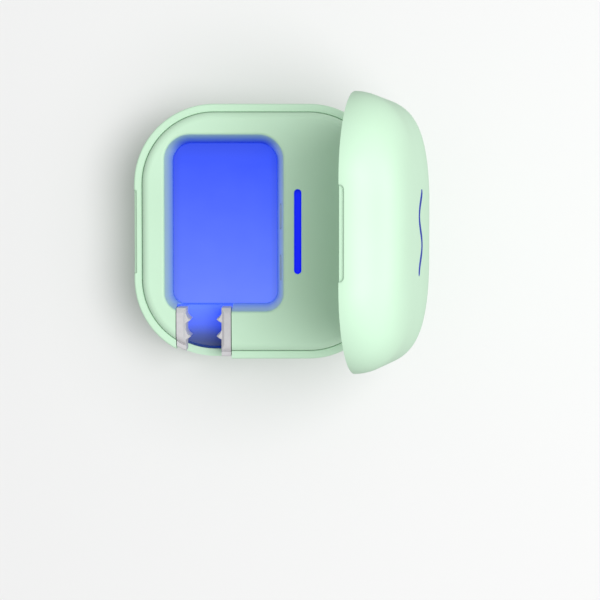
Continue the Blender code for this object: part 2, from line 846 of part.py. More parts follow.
def make_board(parent, materials):
    left, right, bottom, top = board_limits()
    radii = [board_low_corner, board_corner, board_edge_corner, board_edge_corner]
    strip = rounded_outline(left, right, bottom, top, radii, 5)
    board = loft("main_board", [(strip, board_bottom), (strip, board_top)], material=materials["board"],
                 parent=parent)
    below, above = board_bottom - overrun, board_top + overrun
    cut(board, post("board_notch", boss_radius + 2 * seam, screw_places()["bottom_right"], below, above,
                    parent=parent))
    foot_left = usb_from_middle - usb_width / 2 - foot_before_socket
    foot_bottom = -skirt_half + foot_margin
    join(board, block("board_foot", foot_left, foot_left + foot_length, foot_bottom,
                      foot_bottom + foot_height, board_bottom, board_top, foot_corner, 2, parent=parent))
    for index, (x, y) in enumerate(board_screw_places()):
        cut(board, post(f"board_hole_{index}", board_screw_radius + close_fit, (x, y), below, above, 16,
                        parent=parent))
        head_top = board_bottom - seam
        head_low = head_top - board_screw_head_height
        screw = post(f"board_screw_{index + 1}", board_screw_head_radius, (x, y), head_low, head_top, 16,
                     material=materials["steel"], parent=parent)
        join(screw, post(f"board_screw_shank_{index}", board_screw_radius, (x, y),
                         (head_low + head_top) / 2, panel_under - board_screw_stop, 12, parent=parent))
    make_board_chips(parent, materials)
    make_usb_socket(parent, materials)
    return board


def make_board_chips(parent, materials):
    left, right, bottom, top = board_limits()
    over = board_top + seam
    chips = {  # middle from the board's right edge and up from the pod's middle, then width and height
        "controller_chip": (7 * MM, 2.5 * MM, 6 * MM, 6 * MM),
        "charger_chip": (8 * MM, -9 * MM, 4 * MM, 4 * MM),
        "lid_sensor": (3.5 * MM, 9.5 * MM, 2.8 * MM, 1.6 * MM),
    }
    for name, (inset, y, width, height) in chips.items():
        x = right - inset
        block(name, x - width / 2, x + width / 2, y - height / 2, y + height / 2, over,
              over + chip_height, chip_corner, 2, material=materials["chip"], parent=parent)
    reach = status_led_size / 2
    led_x = max(bar_middle, left + reach + chip_corner)
    for name, y in (("status_led_upper", bar_length / 4), ("status_led_lower", -bar_length / 4)):
        block(name, led_x - reach, led_x + reach, y - reach, y + reach, over, over + status_led_height,
              chip_corner, 2, material=materials["led"], parent=parent)
    plug_x = right - connector_from_right
    plug_y = bottom + connector_from_bottom
    plug_top = board_bottom - seam
    block("battery_connector", plug_x - connector_width / 2, plug_x + connector_width / 2, plug_y,
          plug_y + connector_length, plug_top - connector_height, plug_top, small_corner, 2,
          material=materials["nylon"], parent=parent)


def make_usb_socket(parent, materials):
    """A pressed steel shell, open at its mouth, round a contact tongue."""
    half_high = usb_height / 2
    along_y = Matrix.Rotation(math.radians(90), 4, "X")
    mouth = half - usb_setback
    place = (usb_from_middle, 0, usb_middle_level())

    def stadium(shrink):
        wide = usb_width / 2 - shrink
        high = half_high - shrink
        return rounded_outline(-wide, wide, -high, high, [high * 0.98] * 4, small_steps)

    back = mouth - usb_length
    sections = [(stadium(0), back), (stadium(0), mouth), (stadium(usb_wall), mouth),
                (stadium(usb_wall), back + usb_back)]
    loft("usb_socket", sections, material=materials["steel"], parent=parent, location=place, turn=along_y)
    wide, thick = usb_tongue_width / 2, usb_tongue_thickness / 2
    block("usb_tongue", -wide, wide, -thick, thick, back + usb_back + seam, mouth - overrun,
          material=materials["chip"], parent=parent, location=place, turn=along_y)


# Battery


def battery_limits():
    left = side_lamp_far() + battery_inner_gap
    right = half - wall - battery_side_gap
    return left, right, battery_middle - battery_length / 2, battery_middle + battery_length / 2


def battery_levels():
    return floor_level + battery_floor_gap, board_bottom - battery_headroom


def make_battery(parent, materials):
    left, right, bottom, top = battery_limits()
    low, high = battery_levels()
    edge = battery_edge
    sections = [
        (rounded_outline(left + i, right - i, bottom + i, top - i, [battery_corner - i] * 4, small_steps), z)
        for i, z in ((edge, low), (0, low + edge), (0, high - edge), (edge, high))
    ]
    loft("battery", sections, material=materials["foil"], parent=parent)
    connector_x = board_limits()[1] - connector_from_right
    plug_y = board_limits()[2] + connector_from_bottom
    middle = (low + high) / 2
    level = board_bottom - seam - lead_rise
    turn_y = min(bottom - lead_turn[0], plug_y - lead_turn[1])
    route = [(bottom - away, middle + up) for away, up in lead_leaving]
    route.append((turn_y - lead_bend[0], (level + middle) / 2 + lead_bend[1]))
    route.append((turn_y, level - lead_turn[2]))
    route += [(plug_y - short, level) for short in lead_arriving]
    for name, side in (("battery_lead_red", -1), ("battery_lead_black", 1)):
        x = connector_x + side * lead_spacing / 2
        make_lead(name, [(x, y, z) for y, z in route], materials[name], parent)


def make_lead(name, route, material, parent):
    """A thin wire that keeps to one upright plane, along a smooth curve through its route."""
    points = smooth_points(route, 3)
    loops = []
    for index, (x, y, z) in enumerate(points):
        before = points[max(index - 1, 0)]
        after = points[min(index + 1, len(points) - 1)]
        run = math.hypot(after[1] - before[1], after[2] - before[2])
        up_y = -(after[2] - before[2]) / run
        up_z = (after[1] - before[1]) / run
        ring = circle(lead_radius, sides=8)
        loops.append([(x + across, y + up * up_y, z + up * up_z) for across, up in ring])
    return skin(name, loops, material=material, parent=parent)


def smooth_points(route, steps):
    """Points of a Catmull-Rom curve through the route."""
    padded = [route[0], *route, route[-1]]
    points = []
    for index in range(len(route) - 1):
        a, b, c, d = padded[index:index + 4]
        for step in range(steps):
            t = step / steps
            points.append(tuple(
                0.5 * (2 * q + (r - p) * t + (2 * p - 5 * q + 4 * r - s) * t * t
                       + (3 * q - p - 3 * r + s) * t ** 3)
                for p, q, r, s in zip(a, b, c, d)
            ))
    return points + [route[-1]]


# Fasteners, magnets, pad


def screw_head_low():
    return stand_off + screw_head_sink


def screw_tip_level():
    return tray_boss_foot() + screw_bite


def make_tray_screws(parent, material):
    for place, (x, y) in screw_places().items():
        low = screw_head_low()
        screw = post(f"tray_screw_{place}", screw_head_radius, (x, y), low, low + screw_head_height, 20,
                     material=material, parent=parent)
        join(screw, post(f"screw_shank_{place}", screw_radius, (x, y), low + bite, screw_tip_level(), 12,
                         parent=parent))
        cross = cross_width / 2
        arm = screw_head_radius * cross_share
        for index, (reach_x, reach_y) in enumerate(((arm, cross), (cross, arm))):
            cut(screw, block(f"screw_cross_{place}_{index}", x - reach_x, x + reach_x, y - reach_y,
                             y + reach_y, low - overrun, low + cross_depth, parent=parent))


def magnet_places():
    top = liner_level + liner_thickness + seam + magnet_thickness
    under_dome = lid_inner_half * dome_share(top) - magnet_dome_gap - magnet_width / 2
    x = -min(half - magnet_from_side, under_dome)
    return (("upper", x, magnet_spacing / 2), ("lower", x, -magnet_spacing / 2))


def make_magnets(prefix, low, material, parent, location=(0, 0, 0)):
    for name, x, y in magnet_places():
        block(f"{prefix}_magnet_{name}", x - magnet_width / 2, x + magnet_width / 2, y - magnet_length / 2,
              y + magnet_length / 2, low, low + magnet_thickness, small_corner, 2,
              material=material, parent=parent, location=location)


def make_pad(parent, material):
    block("wall_pad", *pad_limits(0), 0, pad_thickness, pad_corner, 6, material=material, parent=parent)


# Lid


def dome(full_half, depth, shares=dome_rings):
    """Sections of a dome from its wide end up: almost upright at the rim and almost flat in front."""
    sections = []
    for share in shares:
        level = depth * (1 - share ** dome_side_power) ** (1 / dome_front_power)
        sections.append((scaled_outline(full_half * share, full_half), level))
    return sections


def dome_share(level):
    """How wide the lid's inside still is at this level, as a share of its width at the rim."""
    return (1 - (level / (lid_depth - lid_wall_front)) ** dome_front_power) ** (1 / dome_side_power)


def lid_sections():
    rim = seam / 2
    outside = dome(half, lid_depth)
    inside = dome(lid_inner_half, lid_depth - lid_wall_front)
    edge = [
        (pod_outline(half), rim + rim_round),
        (pod_outline(half - rim_round * (1 - math.sqrt(0.5))), rim + rim_round * (1 - math.sqrt(0.5))),
        (pod_outline(half - rim_round), rim),
        (pod_outline(lid_inner_half), rim),
    ]
    return outside[::-1] + edge + inside


def wave_outline(grow):
    """A line that swings each way down the lid, given a width and round ends."""
    steps = wave_steps
    reach = wave_width / 2 + grow
    centre = []
    for step in range(steps + 1):
        along = wave_length * (step / steps - 0.5)
        turn = 2 * math.pi * (along - wave_crest) / wave_period
        centre.append((wave_shift - wave_swing * math.cos(turn), along))
    left, right = [], []
    for index, (x, y) in enumerate(centre):
        before = centre[max(index - 1, 0)]
        after = centre[min(index + 1, steps)]
        run = math.hypot(after[0] - before[0], after[1] - before[1])
        across_x = (after[1] - before[1]) / run * reach
        across_y = -(after[0] - before[0]) / run * reach
        right.append((x + across_x, y + across_y))
        left.append((x - across_x, y - across_y))
    return right + round_end(centre[-1], right[-1]) + left[::-1] + round_end(centre[0], left[0])


def round_end(centre, start, steps=5):
    """Points half way round a line's end, from one side of it to the other."""
    radius = math.hypot(start[0] - centre[0], start[1] - centre[1])
    first = math.atan2(start[1] - centre[1], start[0] - centre[0])
    turns = [first + math.pi * step / steps for step in range(1, steps)]
    return [(centre[0] + radius * math.cos(t), centre[1] + radius * math.sin(t)) for t in turns]


def stop_rib(parent, location):
    """A rib on the lid's knuckle that meets the housing when the lid is fully open."""
    reach = knuckle_radius + stop_rib_reach
    thick = stop_rib_thickness / 2
    root = pin_radius + 2 * close_fit
    outline = [(root, -thick), (reach, -thick), (reach, thick), (root, thick)]
    tilt = Matrix.Rotation(math.radians(stop_rib_deg), 4, "Z")
    along_y = Matrix.Rotation(math.radians(90), 4, "X")
    to_axis = Matrix.Translation((half, 0, 0))
    span = lid_knuckle_length / 2 - stop_rib_end_gap
    return loft("stop_rib", [(outline, -span), (outline, span)], parent=parent, location=location,
                turn=to_axis @ along_y @ tilt)


def make_lid(parent, materials):
    origin = (-half, 0, 0)
    where = {"parent": parent, "location": origin}
    lid = loft("lid_shell", lid_sections(), material=materials["mint"], **where)
    for end, low, high in knuckle_ends():
        foot = low if end == "upper" else low - seam
        cut(lid, upright_rod(f"housing_knuckle_relief_{end}", knuckle_radius + seam, half, 0, foot,
                             high + seam, **where))
    join(lid, upright_rod("lid_knuckle", knuckle_radius, half, 0, -lid_knuckle_length / 2,
                          lid_knuckle_length / 2, **where))
    join(lid, stop_rib(parent, origin))
    wave_slot = wave_outline(wave_gap)
    cut(
        lid,
        upright_rod("lid_pin_bore", pin_radius + close_fit, half, 0, -half, half, 16, **where),
        nail_slot_cutter("lid_nail_slot", parent, origin),
        loft("wave_slot", [(wave_slot, lid_depth / 2), (wave_slot, 2 * lid_depth)], **where),
    )
    wave = wave_outline(0)
    inside_front = lid_depth - lid_wall_front
    loft("lid_wave_light", [(wave, inside_front), (wave, lid_depth - wave_recess)],
         material=materials["wave"], **where)
    make_liner(where, materials["mint"])
    make_light_guide(where, materials["guide"])
    make_magnets("lid", liner_level + liner_thickness + seam, materials["magnet"], parent, origin)
    return lid


def liner_half():
    """Inside the lid's wall, and clear of the dome where it closes in over the flange's corners."""
    straight = half - pod_corner
    share = dome_share(liner_level + liner_thickness)
    dome_corner = ((math.sqrt(2) - 1) * straight + lid_inner_half) * share  # from the middle, at 45 degrees
    return min(lid_inner_half - liner_gap, dome_corner - liner_dome_gap - (math.sqrt(2) - 1) * straight)


def make_liner(where, material):
    """The lid's inner panel: a flat flange round a dish that clears the brush head."""
    outer = liner_half()
    dish_half = outer - liner_flange
    top = liner_level + liner_thickness
    shares = (1.0, *dome_rings[1::2])
    upper = [(o, top + z) for o, z in dome(dish_half + liner_thickness, liner_dish, shares)]
    lower = [(o, liner_level + z) for o, z in dome(dish_half, liner_dish, shares)]
    sections = upper[::-1] + [(pod_outline(outer), top), (pod_outline(outer), liner_level)] + lower
    liner = loft("lid_liner", sections, material=material, **where)
    cut(liner, bar_slot("liner_slot", seam, liner_level - overrun, lid_depth, **where))
    return liner


def make_light_guide(where, material):
    """A clear plate that carries the status bar's light across to the wave when the lid is shut."""
    top = lid_depth - lid_wall_front - guide_gap
    low = top - guide_thickness
    left = wave_shift - wave_swing - wave_width
    right = bar_middle + bar_width / 2
    tall = bar_length / 2
    guide = block("lid_light_guide", left, right, -tall, tall, low, top, guide_corner,
                  material=material, **where)
    foot = liner_level + liner_dish - guide_leg_lift
    join(guide, bar_slot("guide_leg", -guide_leg_shrink, foot, (low + top) / 2, **where))
    return guide


# Hinge


def make_hinge_pin(parent, material):
    reach = hinge_length / 2 - pin_inset
    upright_rod("hinge_pin", pin_radius, half, base_depth, -reach, reach, 16, material=material,
                parent=parent)


def main():
    clear_scene()
    materials = {
        "mint": make_material("mint_abs", (0.60, 0.86, 0.62), 0.45),
        "window": make_material("blue_window", (0.08, 0.13, 1.0), 0.2, glow=2.0),
        "lens": make_material("quartz_lens", (0.10, 0.12, 0.35), 0.1),
        "grip": make_material("grey_silicone", (0.62, 0.61, 0.62), 0.6),
        "bar": make_material("light_pipe", (0.02, 0.05, 1.0), 0.25, glow=2.0),
        "wave": make_material("blue_lens", (0.01, 0.06, 0.45), 0.3, glow=0.5),
        "guide": make_material("clear_acrylic", (0.80, 0.85, 0.95), 0.1),
        "board": make_material("green_board", (0.02, 0.20, 0.09), 0.4),
        "led": make_material("led_ceramic", (0.85, 0.80, 0.62), 0.4),
        "chip": make_material("black_epoxy", (0.02, 0.02, 0.02), 0.4),
        "nylon": make_material("white_nylon", (0.85, 0.85, 0.80), 0.5),
        "steel": make_material("nickel_steel", (0.66, 0.66, 0.66), 0.3, 1.0),
        "magnet": make_material("nickel_magnet", (0.60, 0.60, 0.62), 0.25, 1.0),
        "foil": make_material("battery_foil", (0.62, 0.64, 0.67), 0.35, 0.6),
        "pad": make_material("pad_foam", (0.80, 0.80, 0.80), 0.8),
        "battery_lead_red": make_material("red_wire", (0.60, 0.02, 0.02), 0.5),
        "battery_lead_black": make_material("black_wire", (0.02, 0.02, 0.02), 0.5),
    }
    pod = make_empty("pod_frame", rotation=(math.radians(90), 0, 0))
    hinge = make_empty("lid_hinge", pod, (half, 0, base_depth), (0, math.radians(lid_open_deg), 0))

    make_housing(pod, materials["mint"])
    make_tray(pod, materials["mint"])
    make_tray_seal(pod, materials["grip"])
    make_lamp(pod, materials)
    make_side_lamps(pod, materials)
    make_grip_pad("left", pod, materials["grip"])
    make_grip_pad("right", pod, materials["grip"])
    make_status_bar(pod, materials["bar"])
    make_board(pod, materials)
    make_battery(pod, materials)
    make_tray_screws(pod, materials["steel"])
    make_magnets("base", panel_under - seam - magnet_thickness, materials["magnet"], pod)
    make_pad(pod, materials["pad"])
    make_hinge_pin(pod, materials["steel"])
    make_lid(hinge, materials)


main()
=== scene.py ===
import json
import math

import bmesh
import bpy
from mathutils import Matrix, Vector


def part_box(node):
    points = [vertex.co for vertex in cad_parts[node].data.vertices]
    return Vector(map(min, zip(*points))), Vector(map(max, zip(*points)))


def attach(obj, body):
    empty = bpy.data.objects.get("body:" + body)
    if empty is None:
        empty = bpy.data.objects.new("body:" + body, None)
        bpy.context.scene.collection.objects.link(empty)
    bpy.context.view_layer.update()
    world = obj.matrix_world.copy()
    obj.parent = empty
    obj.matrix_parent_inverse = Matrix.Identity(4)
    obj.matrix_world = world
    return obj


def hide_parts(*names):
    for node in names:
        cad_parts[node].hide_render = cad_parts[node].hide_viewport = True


# A wall-mounted toothbrush sanitizer with its lid open. Every piece is drawn in the pod's own
# frame, x to the right, y up and z off the wall, and then put in its place in the row frame.

mm = 0.001
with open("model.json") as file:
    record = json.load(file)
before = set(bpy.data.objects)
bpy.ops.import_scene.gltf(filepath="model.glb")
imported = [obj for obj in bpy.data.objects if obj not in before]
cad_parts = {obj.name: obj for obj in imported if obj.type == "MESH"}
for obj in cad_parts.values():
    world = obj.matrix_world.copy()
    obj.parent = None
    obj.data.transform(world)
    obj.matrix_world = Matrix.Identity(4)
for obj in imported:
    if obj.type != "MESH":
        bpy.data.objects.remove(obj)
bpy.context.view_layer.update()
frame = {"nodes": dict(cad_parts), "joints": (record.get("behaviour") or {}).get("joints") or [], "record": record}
record = frame["record"]
slotOf = {part["node"]: part["material_slot"] for part in record["subparts"]}
hinge = frame["joints"][0]

pod = {
    "corner": 22.0 * mm,  # outline's corner radius
    "wall": 2.05 * mm,
    "seam": 0.3 * mm,
    "standOff": 0.8 * mm,  # back of the housing, off the wall
    "backWall": 2.4 * mm,
    "cornerSteps": 26,  # facets in each corner of the outline
}
podHalf = -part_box("back_housing")[0].x
rimPlane = -hinge["pos_m"][1]  # parting plane between base and lid
panelTop = -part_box("inner_tray")[0].y
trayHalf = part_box("inner_tray")[1].x
floorLevel = pod["standOff"] + pod["backWall"]
rimLevel = rimPlane - pod["seam"] / 2
openAngle = math.radians(-hinge["range_deg"][0])
toWorld = Matrix.Rotation(math.radians(90), 4, "X")
toHinge = Matrix.Translation((hinge["pos_m"][0], 0, rimPlane))
fromHinge = Matrix.Translation((-hinge["pos_m"][0], 0, 0))
# the lid is drawn with its z from the parting plane
toLid = toWorld @ toHinge @ Matrix.Rotation(openAngle, 4, "Y") @ fromHinge
print("frame loaded")


# ---- drawing outlines and solids


def roundedOutline(left, right, bottom, top, radii, steps):
    # radii run from the lower right corner, against the clock
    corners = ((right, bottom, -1, 1), (right, top, -1, -1), (left, top, 1, -1), (left, bottom, 1, 1))
    points = []
    for turn, ((x, y, inX, inY), radius) in enumerate(zip(corners, radii)):
        for step in range(steps + 1):
            angle = math.radians(90 * (turn - 1 + step / steps))
            across = x + inX * radius + radius * math.cos(angle)
            up = y + inY * radius + radius * math.sin(angle)
            points.append((across, up))
    return points


def podOutline(half):
    radius = pod["corner"] - (podHalf - half)
    return roundedOutline(-half, half, -half, half, [radius] * 4, pod["cornerSteps"])


def circle(radius, centre=(0, 0), sides=48):
    turns = [2 * math.pi * side / sides for side in range(sides)]
    return [(centre[0] + radius * math.cos(t), centre[1] + radius * math.sin(t)) for t in turns]


def quarterRound(steps, start=0, end=90):
    angles = [math.radians(start + (end - start) * step / steps) for step in range(steps + 1)]
    return [(math.sin(a), math.cos(a)) for a in angles]


def newObject(name, mesh):
    obj = bpy.data.objects.new(name, mesh)
    bpy.context.scene.collection.objects.link(obj)
    return obj


def skin(name, loops, closed=False, turn=None):
    mesh = bpy.data.meshes.new(name)
    work = bmesh.new()
    rings = [[work.verts.new(point) for point in loop] for loop in loops]
    for lower, upper in zip(rings, rings[1:] + rings[:1] if closed else rings[1:]):
        for index in range(len(lower)):
            after = (index + 1) % len(lower)
            work.faces.new((lower[index], lower[after], upper[after], upper[index]))
    if not closed:
        work.faces.new(rings[0][::-1])
        work.faces.new(rings[-1])
    bmesh.ops.recalc_face_normals(work, faces=work.faces)
    if turn is not None:
        work.transform(turn)
    work.to_mesh(mesh)
    work.free()
    return newObject(name, mesh)


def loft(name, sections, **where):
    return skin(name, [[(x, y, level) for x, y in outline] for outline, level in sections], **where)


def rod(name, radius, x, z, low, high):
    # a round rod along y
    outline = circle(radius, (x, -z))
    return loft(name, [(outline, low), (outline, high)], turn=Matrix.Rotation(math.radians(-90), 4, "X"))


def evaluated(obj):
    depsgraph = bpy.context.evaluated_depsgraph_get()
    return bpy.data.meshes.new_from_object(obj.evaluated_get(depsgraph))


def applied(obj):
    # turns the modifiers' result into the object's own mesh
    mesh = evaluated(obj)
    obj.modifiers.clear()
    old = obj.data
    obj.data = mesh
    bpy.data.meshes.remove(old)
    return obj


def shape(obj, tools, operation="DIFFERENCE"):
    for tool in tools:
        modifier = obj.modifiers.new(tool.name, "BOOLEAN")
        modifier.operation = operation
        modifier.object = tool
        modifier.solver = "EXACT"
    applied(obj)
    for tool in tools:
        bpy.data.objects.remove(tool)
    return obj


def soften(obj, width, segments=2, angle=40):
    modifier = obj.modifiers.new("edges", "BEVEL")
    modifier.width = width
    modifier.segments = segments
    modifier.limit_method = "ANGLE"
    modifier.angle_limit = math.radians(angle)
    modifier.miter_outer = "MITER_ARC"
    return applied(obj)


def settle(obj, place, body, replaced, finish=None):
    # puts a finished piece in the row frame, gives it its material and hangs it on its body
    obj.data.transform(place)
    obj.data.shade_smooth()
    obj.data.set_sharp_from_angle(angle=math.radians(32))
    modifier = obj.modifiers.new("normals", "WEIGHTED_NORMAL")
    modifier.keep_sharp = True
    applied(obj)
    slot = slotOf[replaced[0]]
    obj.data.materials.clear()
    obj.data.materials.append(finish or finishes[slot])
    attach(obj, body)
    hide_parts(*replaced)
    return obj


# ---- materials


def linear(hexColour):
    channels = [int(hexColour[i:i + 2], 16) / 255 for i in (1, 3, 5)]
    return [c / 12.92 if c <= 0.04045 else ((c + 0.055) / 1.055) ** 2.4 for c in channels] + [1.0]


def addNode(tree, kind, inputs=None, **settings):
    # inputs maps a socket's name or number to a value, to another node's output, or to a node's first one
    node = tree.nodes.new(kind)
    for name, value in settings.items():
        setattr(node, name, value)
    for socket, value in (inputs or {}).items():
        if isinstance(value, bpy.types.Node):
            value = value.outputs[0]
        if isinstance(value, bpy.types.NodeSocket):
            tree.links.new(value, node.inputs[socket])
        else:
            node.inputs[socket].default_value = value
    return node


def newMaterial(name):
    material = bpy.data.materials.new(name)
    material.use_nodes = True
    tree = material.node_tree
    return material, tree, tree.nodes["Principled BSDF"]


def setShader(shader, **values):
    for name, value in values.items():
        shader.inputs[name.replace("_", " ")].default_value = value


def ramp(tree, factor, stops):
    node = addNode(tree, "ShaderNodeValToRGB", {"Fac": factor})
    elements = node.color_ramp.elements
    while len(elements) < len(stops):
        elements.new(0.5)
    for element, (position, colour) in zip(elements, stops):
        element.position = position
        element.color = colour
    return node.outputs["Color"]


def grey(value):
    return (value, value, value, 1.0)


def within(tree, value, low, high):
    # 1 between two limits and 0 beyond them, with a hair's width of blur
    blur = 0.1 * mm
    rising = addNode(tree, "ShaderNodeMapRange", {"Value": value, "From Min": low - blur, "From Max": low})
    falling = addNode(tree, "ShaderNodeMapRange", {"Value": value, "From Min": high + blur, "From Max": high})
    return addNode(tree, "ShaderNodeMath", {0: rising, 1: falling}, operation="MULTIPLY")


def mouldedPlastic(name, colour, deep, roughness, grainMm, bump, gloss=0.4):
    # injection-moulded plastic: a spark-eroded mould leaves fine even grain, and the colour drifts a little
    material, tree, shader = newMaterial(name)
    where = addNode(tree, "ShaderNodeTexCoord").outputs["Object"]
    drift = addNode(tree, "ShaderNodeTexNoise", {"Vector": where, "Scale": 1 / (26 * mm), "Detail": 3.0})
    tone = ramp(tree, drift.outputs["Fac"], [(0.32, linear(deep)), (0.62, linear(colour))])
    grain = addNode(tree, "ShaderNodeTexNoise", {"Vector": where, "Scale": 1 / (grainMm * mm), "Detail": 2.0})
    haze = addNode(tree, "ShaderNodeMapRange", {"Value": grain.outputs["Fac"], "To Min": roughness - 0.05,
                                                "To Max": roughness + 0.06})
    height = addNode(tree, "ShaderNodeBump", {"Strength": bump, "Distance": 0.02 * mm,
                                              "Height": grain.outputs["Fac"]})
    tree.links.new(tone, shader.inputs["Base Color"])
    tree.links.new(haze.outputs["Result"], shader.inputs["Roughness"])
    tree.links.new(height.outputs["Normal"], shader.inputs["Normal"])
    setShader(shader, IOR=1.53, Specular_IOR_Level=gloss)
    return material


def litPlastic(name, body, tones, low, high, rim, edgeShade, roughness, gloss):
    # opal polycarbonate lit from behind: its tones run from one end to the other, with painted shade darkening it
    # along its edges
    material, tree, shader = newMaterial(name)
    where = addNode(tree, "ShaderNodeTexCoord").outputs["Object"]
    split = addNode(tree, "ShaderNodeSeparateXYZ", {"Vector": where})
    cloud = addNode(tree, "ShaderNodeTexNoise", {"Vector": where, "Scale": 1 / (9 * mm), "Detail": 2.0})
    climb = addNode(tree, "ShaderNodeMapRange", {"Value": split.outputs["Z"], "From Min": low.z,
                                                 "From Max": high.z})
    unevenness = 0.14
    uneven = addNode(tree, "ShaderNodeMath", {0: cloud.outputs["Fac"], 1: unevenness, 2: climb},
                     operation="MULTIPLY_ADD")
    tone = ramp(tree, uneven, [(stop, linear(colour)) for stop, colour in tones])
    # painted shade: the glow darkens towards the left, right and top edges, standing in for shadow there
    sides = [("X", low.x, low.x + rim), ("X", high.x, high.x - rim), ("Z", high.z, high.z - rim * 2)]
    shade = 1.0
    for axis, edge, inside in sides:
        span = {"Value": split.outputs[axis], "From Min": edge, "From Max": inside, "To Min": edgeShade}
        fade = addNode(tree, "ShaderNodeMapRange", span, interpolation_type="SMOOTHSTEP")
        shade = addNode(tree, "ShaderNodeMath", {0: shade, 1: fade}, operation="MULTIPLY")
    glow = addNode(tree, "ShaderNodeVectorMath", {0: tone, "Scale": shade}, operation="SCALE")
    tree.links.new(glow.outputs[0], shader.inputs["Emission Color"])
    setShader(shader, Base_Color=linear(body), Emission_Strength=1.0, Roughness=roughness, IOR=1.58,
              Specular_IOR_Level=gloss)
    return material


def siliconeRubber(name, colour, deep):
    # moulded silicone: soft and matt, with a bloom of fine dust and a faint sheen
    material, tree, shader = newMaterial(name)
    where = addNode(tree, "ShaderNodeTexCoord").outputs["Object"]
    dust = addNode(tree, "ShaderNodeTexNoise", {"Vector": where, "Scale": 1 / (1.4 * mm), "Detail": 3.0})
    tone = ramp(tree, dust.outputs["Fac"], [(0.3, linear(deep)), (0.65, linear(colour))])
    height = addNode(tree, "ShaderNodeBump", {"Strength": 0.12, "Distance": 0.02 * mm,
                                              "Height": dust.outputs["Fac"]})
    tree.links.new(tone, shader.inputs["Base Color"])
    tree.links.new(height.outputs["Normal"], shader.inputs["Normal"])
    setShader(shader, Roughness=0.62, IOR=1.41, Sheen_Weight=0.15, Sheen_Roughness=0.5)
    return material


def clearPlastic(name, tint, roughness, ior):
    # polished clear plastic or quartz with a faint tint
    material, tree, shader = newMaterial(name)
    where = addNode(tree, "ShaderNodeTexCoord").outputs["Object"]
    haze = addNode(tree, "ShaderNodeTexNoise", {"Vector": where, "Scale": 1 / (2 * mm)})
    spread = addNode(tree, "ShaderNodeMapRange", {"Value": haze.outputs["Fac"], "To Min": roughness,
                                                  "To Max": roughness + 0.06})
    tree.links.new(spread.outputs["Result"], shader.inputs["Roughness"])
    setShader(shader, Base_Color=linear(tint), Transmission_Weight=0.7, IOR=ior)
    return material


def solderMask(name, colour, deep):
    # glass-fibre board under green lacquer: the weave shows through and copper runs stand up a little
    material, tree, shader = newMaterial(name)
    where = addNode(tree, "ShaderNodeTexCoord").outputs["Object"]
    weave = addNode(tree, "ShaderNodeTexChecker", {"Vector": where, "Scale": 1 / (0.7 * mm)})
    runs = addNode(tree, "ShaderNodeTexBrick", {"Vector": where, "Scale": 1 / (6 * mm), "Mortar Size": 0.03})
    blend = addNode(tree, "ShaderNodeMath", {0: weave.outputs["Fac"], 1: 0.25, 2: runs.outputs["Fac"]},
                    operation="MULTIPLY_ADD")
    tone = ramp(tree, blend.outputs[0], [(0.0, linear(deep)), (1.0, linear(colour))])
    height = addNode(tree, "ShaderNodeBump", {"Strength": 0.3, "Distance": 0.03 * mm,
                                              "Height": runs.outputs["Fac"]})
    tree.links.new(tone, shader.inputs["Base Color"])
    tree.links.new(height.outputs["Normal"], shader.inputs["Normal"])
    setShader(shader, Roughness=0.3, IOR=1.55)
    return material


def platedMetal(name, colour, roughness, grainMm):
    # nickel plate over steel: fine turning lines under the plate
    material, tree, shader = newMaterial(name)
    where = addNode(tree, "ShaderNodeTexCoord").outputs["Object"]
    lines = addNode(tree, "ShaderNodeTexNoise", {"Vector": where, "Scale": 1 / (grainMm * mm), "Detail": 5.0})
    spread = addNode(tree, "ShaderNodeMapRange", {"Value": lines.outputs["Fac"], "To Min": roughness - 0.07,
                                                  "To Max": roughness + 0.1})
    height = addNode(tree, "ShaderNodeBump", {"Strength": 0.15, "Distance": 0.01 * mm,
                                              "Height": lines.outputs["Fac"]})
    tree.links.new(spread.outputs["Result"], shader.inputs["Roughness"])
    tree.links.new(height.outputs["Normal"], shader.inputs["Normal"])
    setShader(shader, Base_Color=linear(colour), Metallic=1.0)
    return material


def pouchFoil(name, colour):
    # laminated aluminium pouch: soft wrinkles in a thin bright film
    material, tree, shader = newMaterial(name)
    where = addNode(tree, "ShaderNodeTexCoord").outputs["Object"]
    creases = addNode(tree, "ShaderNodeTexNoise", {"Vector": where, "Scale": 1 / (5 * mm), "Detail": 4.0,
                                                   "Distortion": 0.6})
    height = addNode(tree, "ShaderNodeBump", {"Strength": 0.5, "Distance": 0.15 * mm,
                                              "Height": creases.outputs["Fac"]})
    tree.links.new(height.outputs["Normal"], shader.inputs["Normal"])
    setShader(shader, Base_Color=linear(colour), Metallic=0.8, Roughness=0.35)
    return material


def suctionFoam(name, colour, deep):
    # micro-suction foam: thousands of tiny open cells, drawn coarse enough to show
    material, tree, shader = newMaterial(name)
    where = addNode(tree, "ShaderNodeTexCoord").outputs["Object"]
    cells = addNode(tree, "ShaderNodeTexVoronoi", {"Vector": where, "Scale": 1 / (0.9 * mm)})
    tone = ramp(tree, cells.outputs["Distance"], [(0.1, linear(deep)), (0.5, linear(colour))])
    height = addNode(tree, "ShaderNodeBump", {"Strength": 0.4, "Distance": 0.1 * mm,
                                              "Height": cells.outputs["Distance"]})
    tree.links.new(tone, shader.inputs["Base Color"])
    tree.links.new(height.outputs["Normal"], shader.inputs["Normal"])
    setShader(shader, Roughness=0.8, IOR=1.45)
    return material


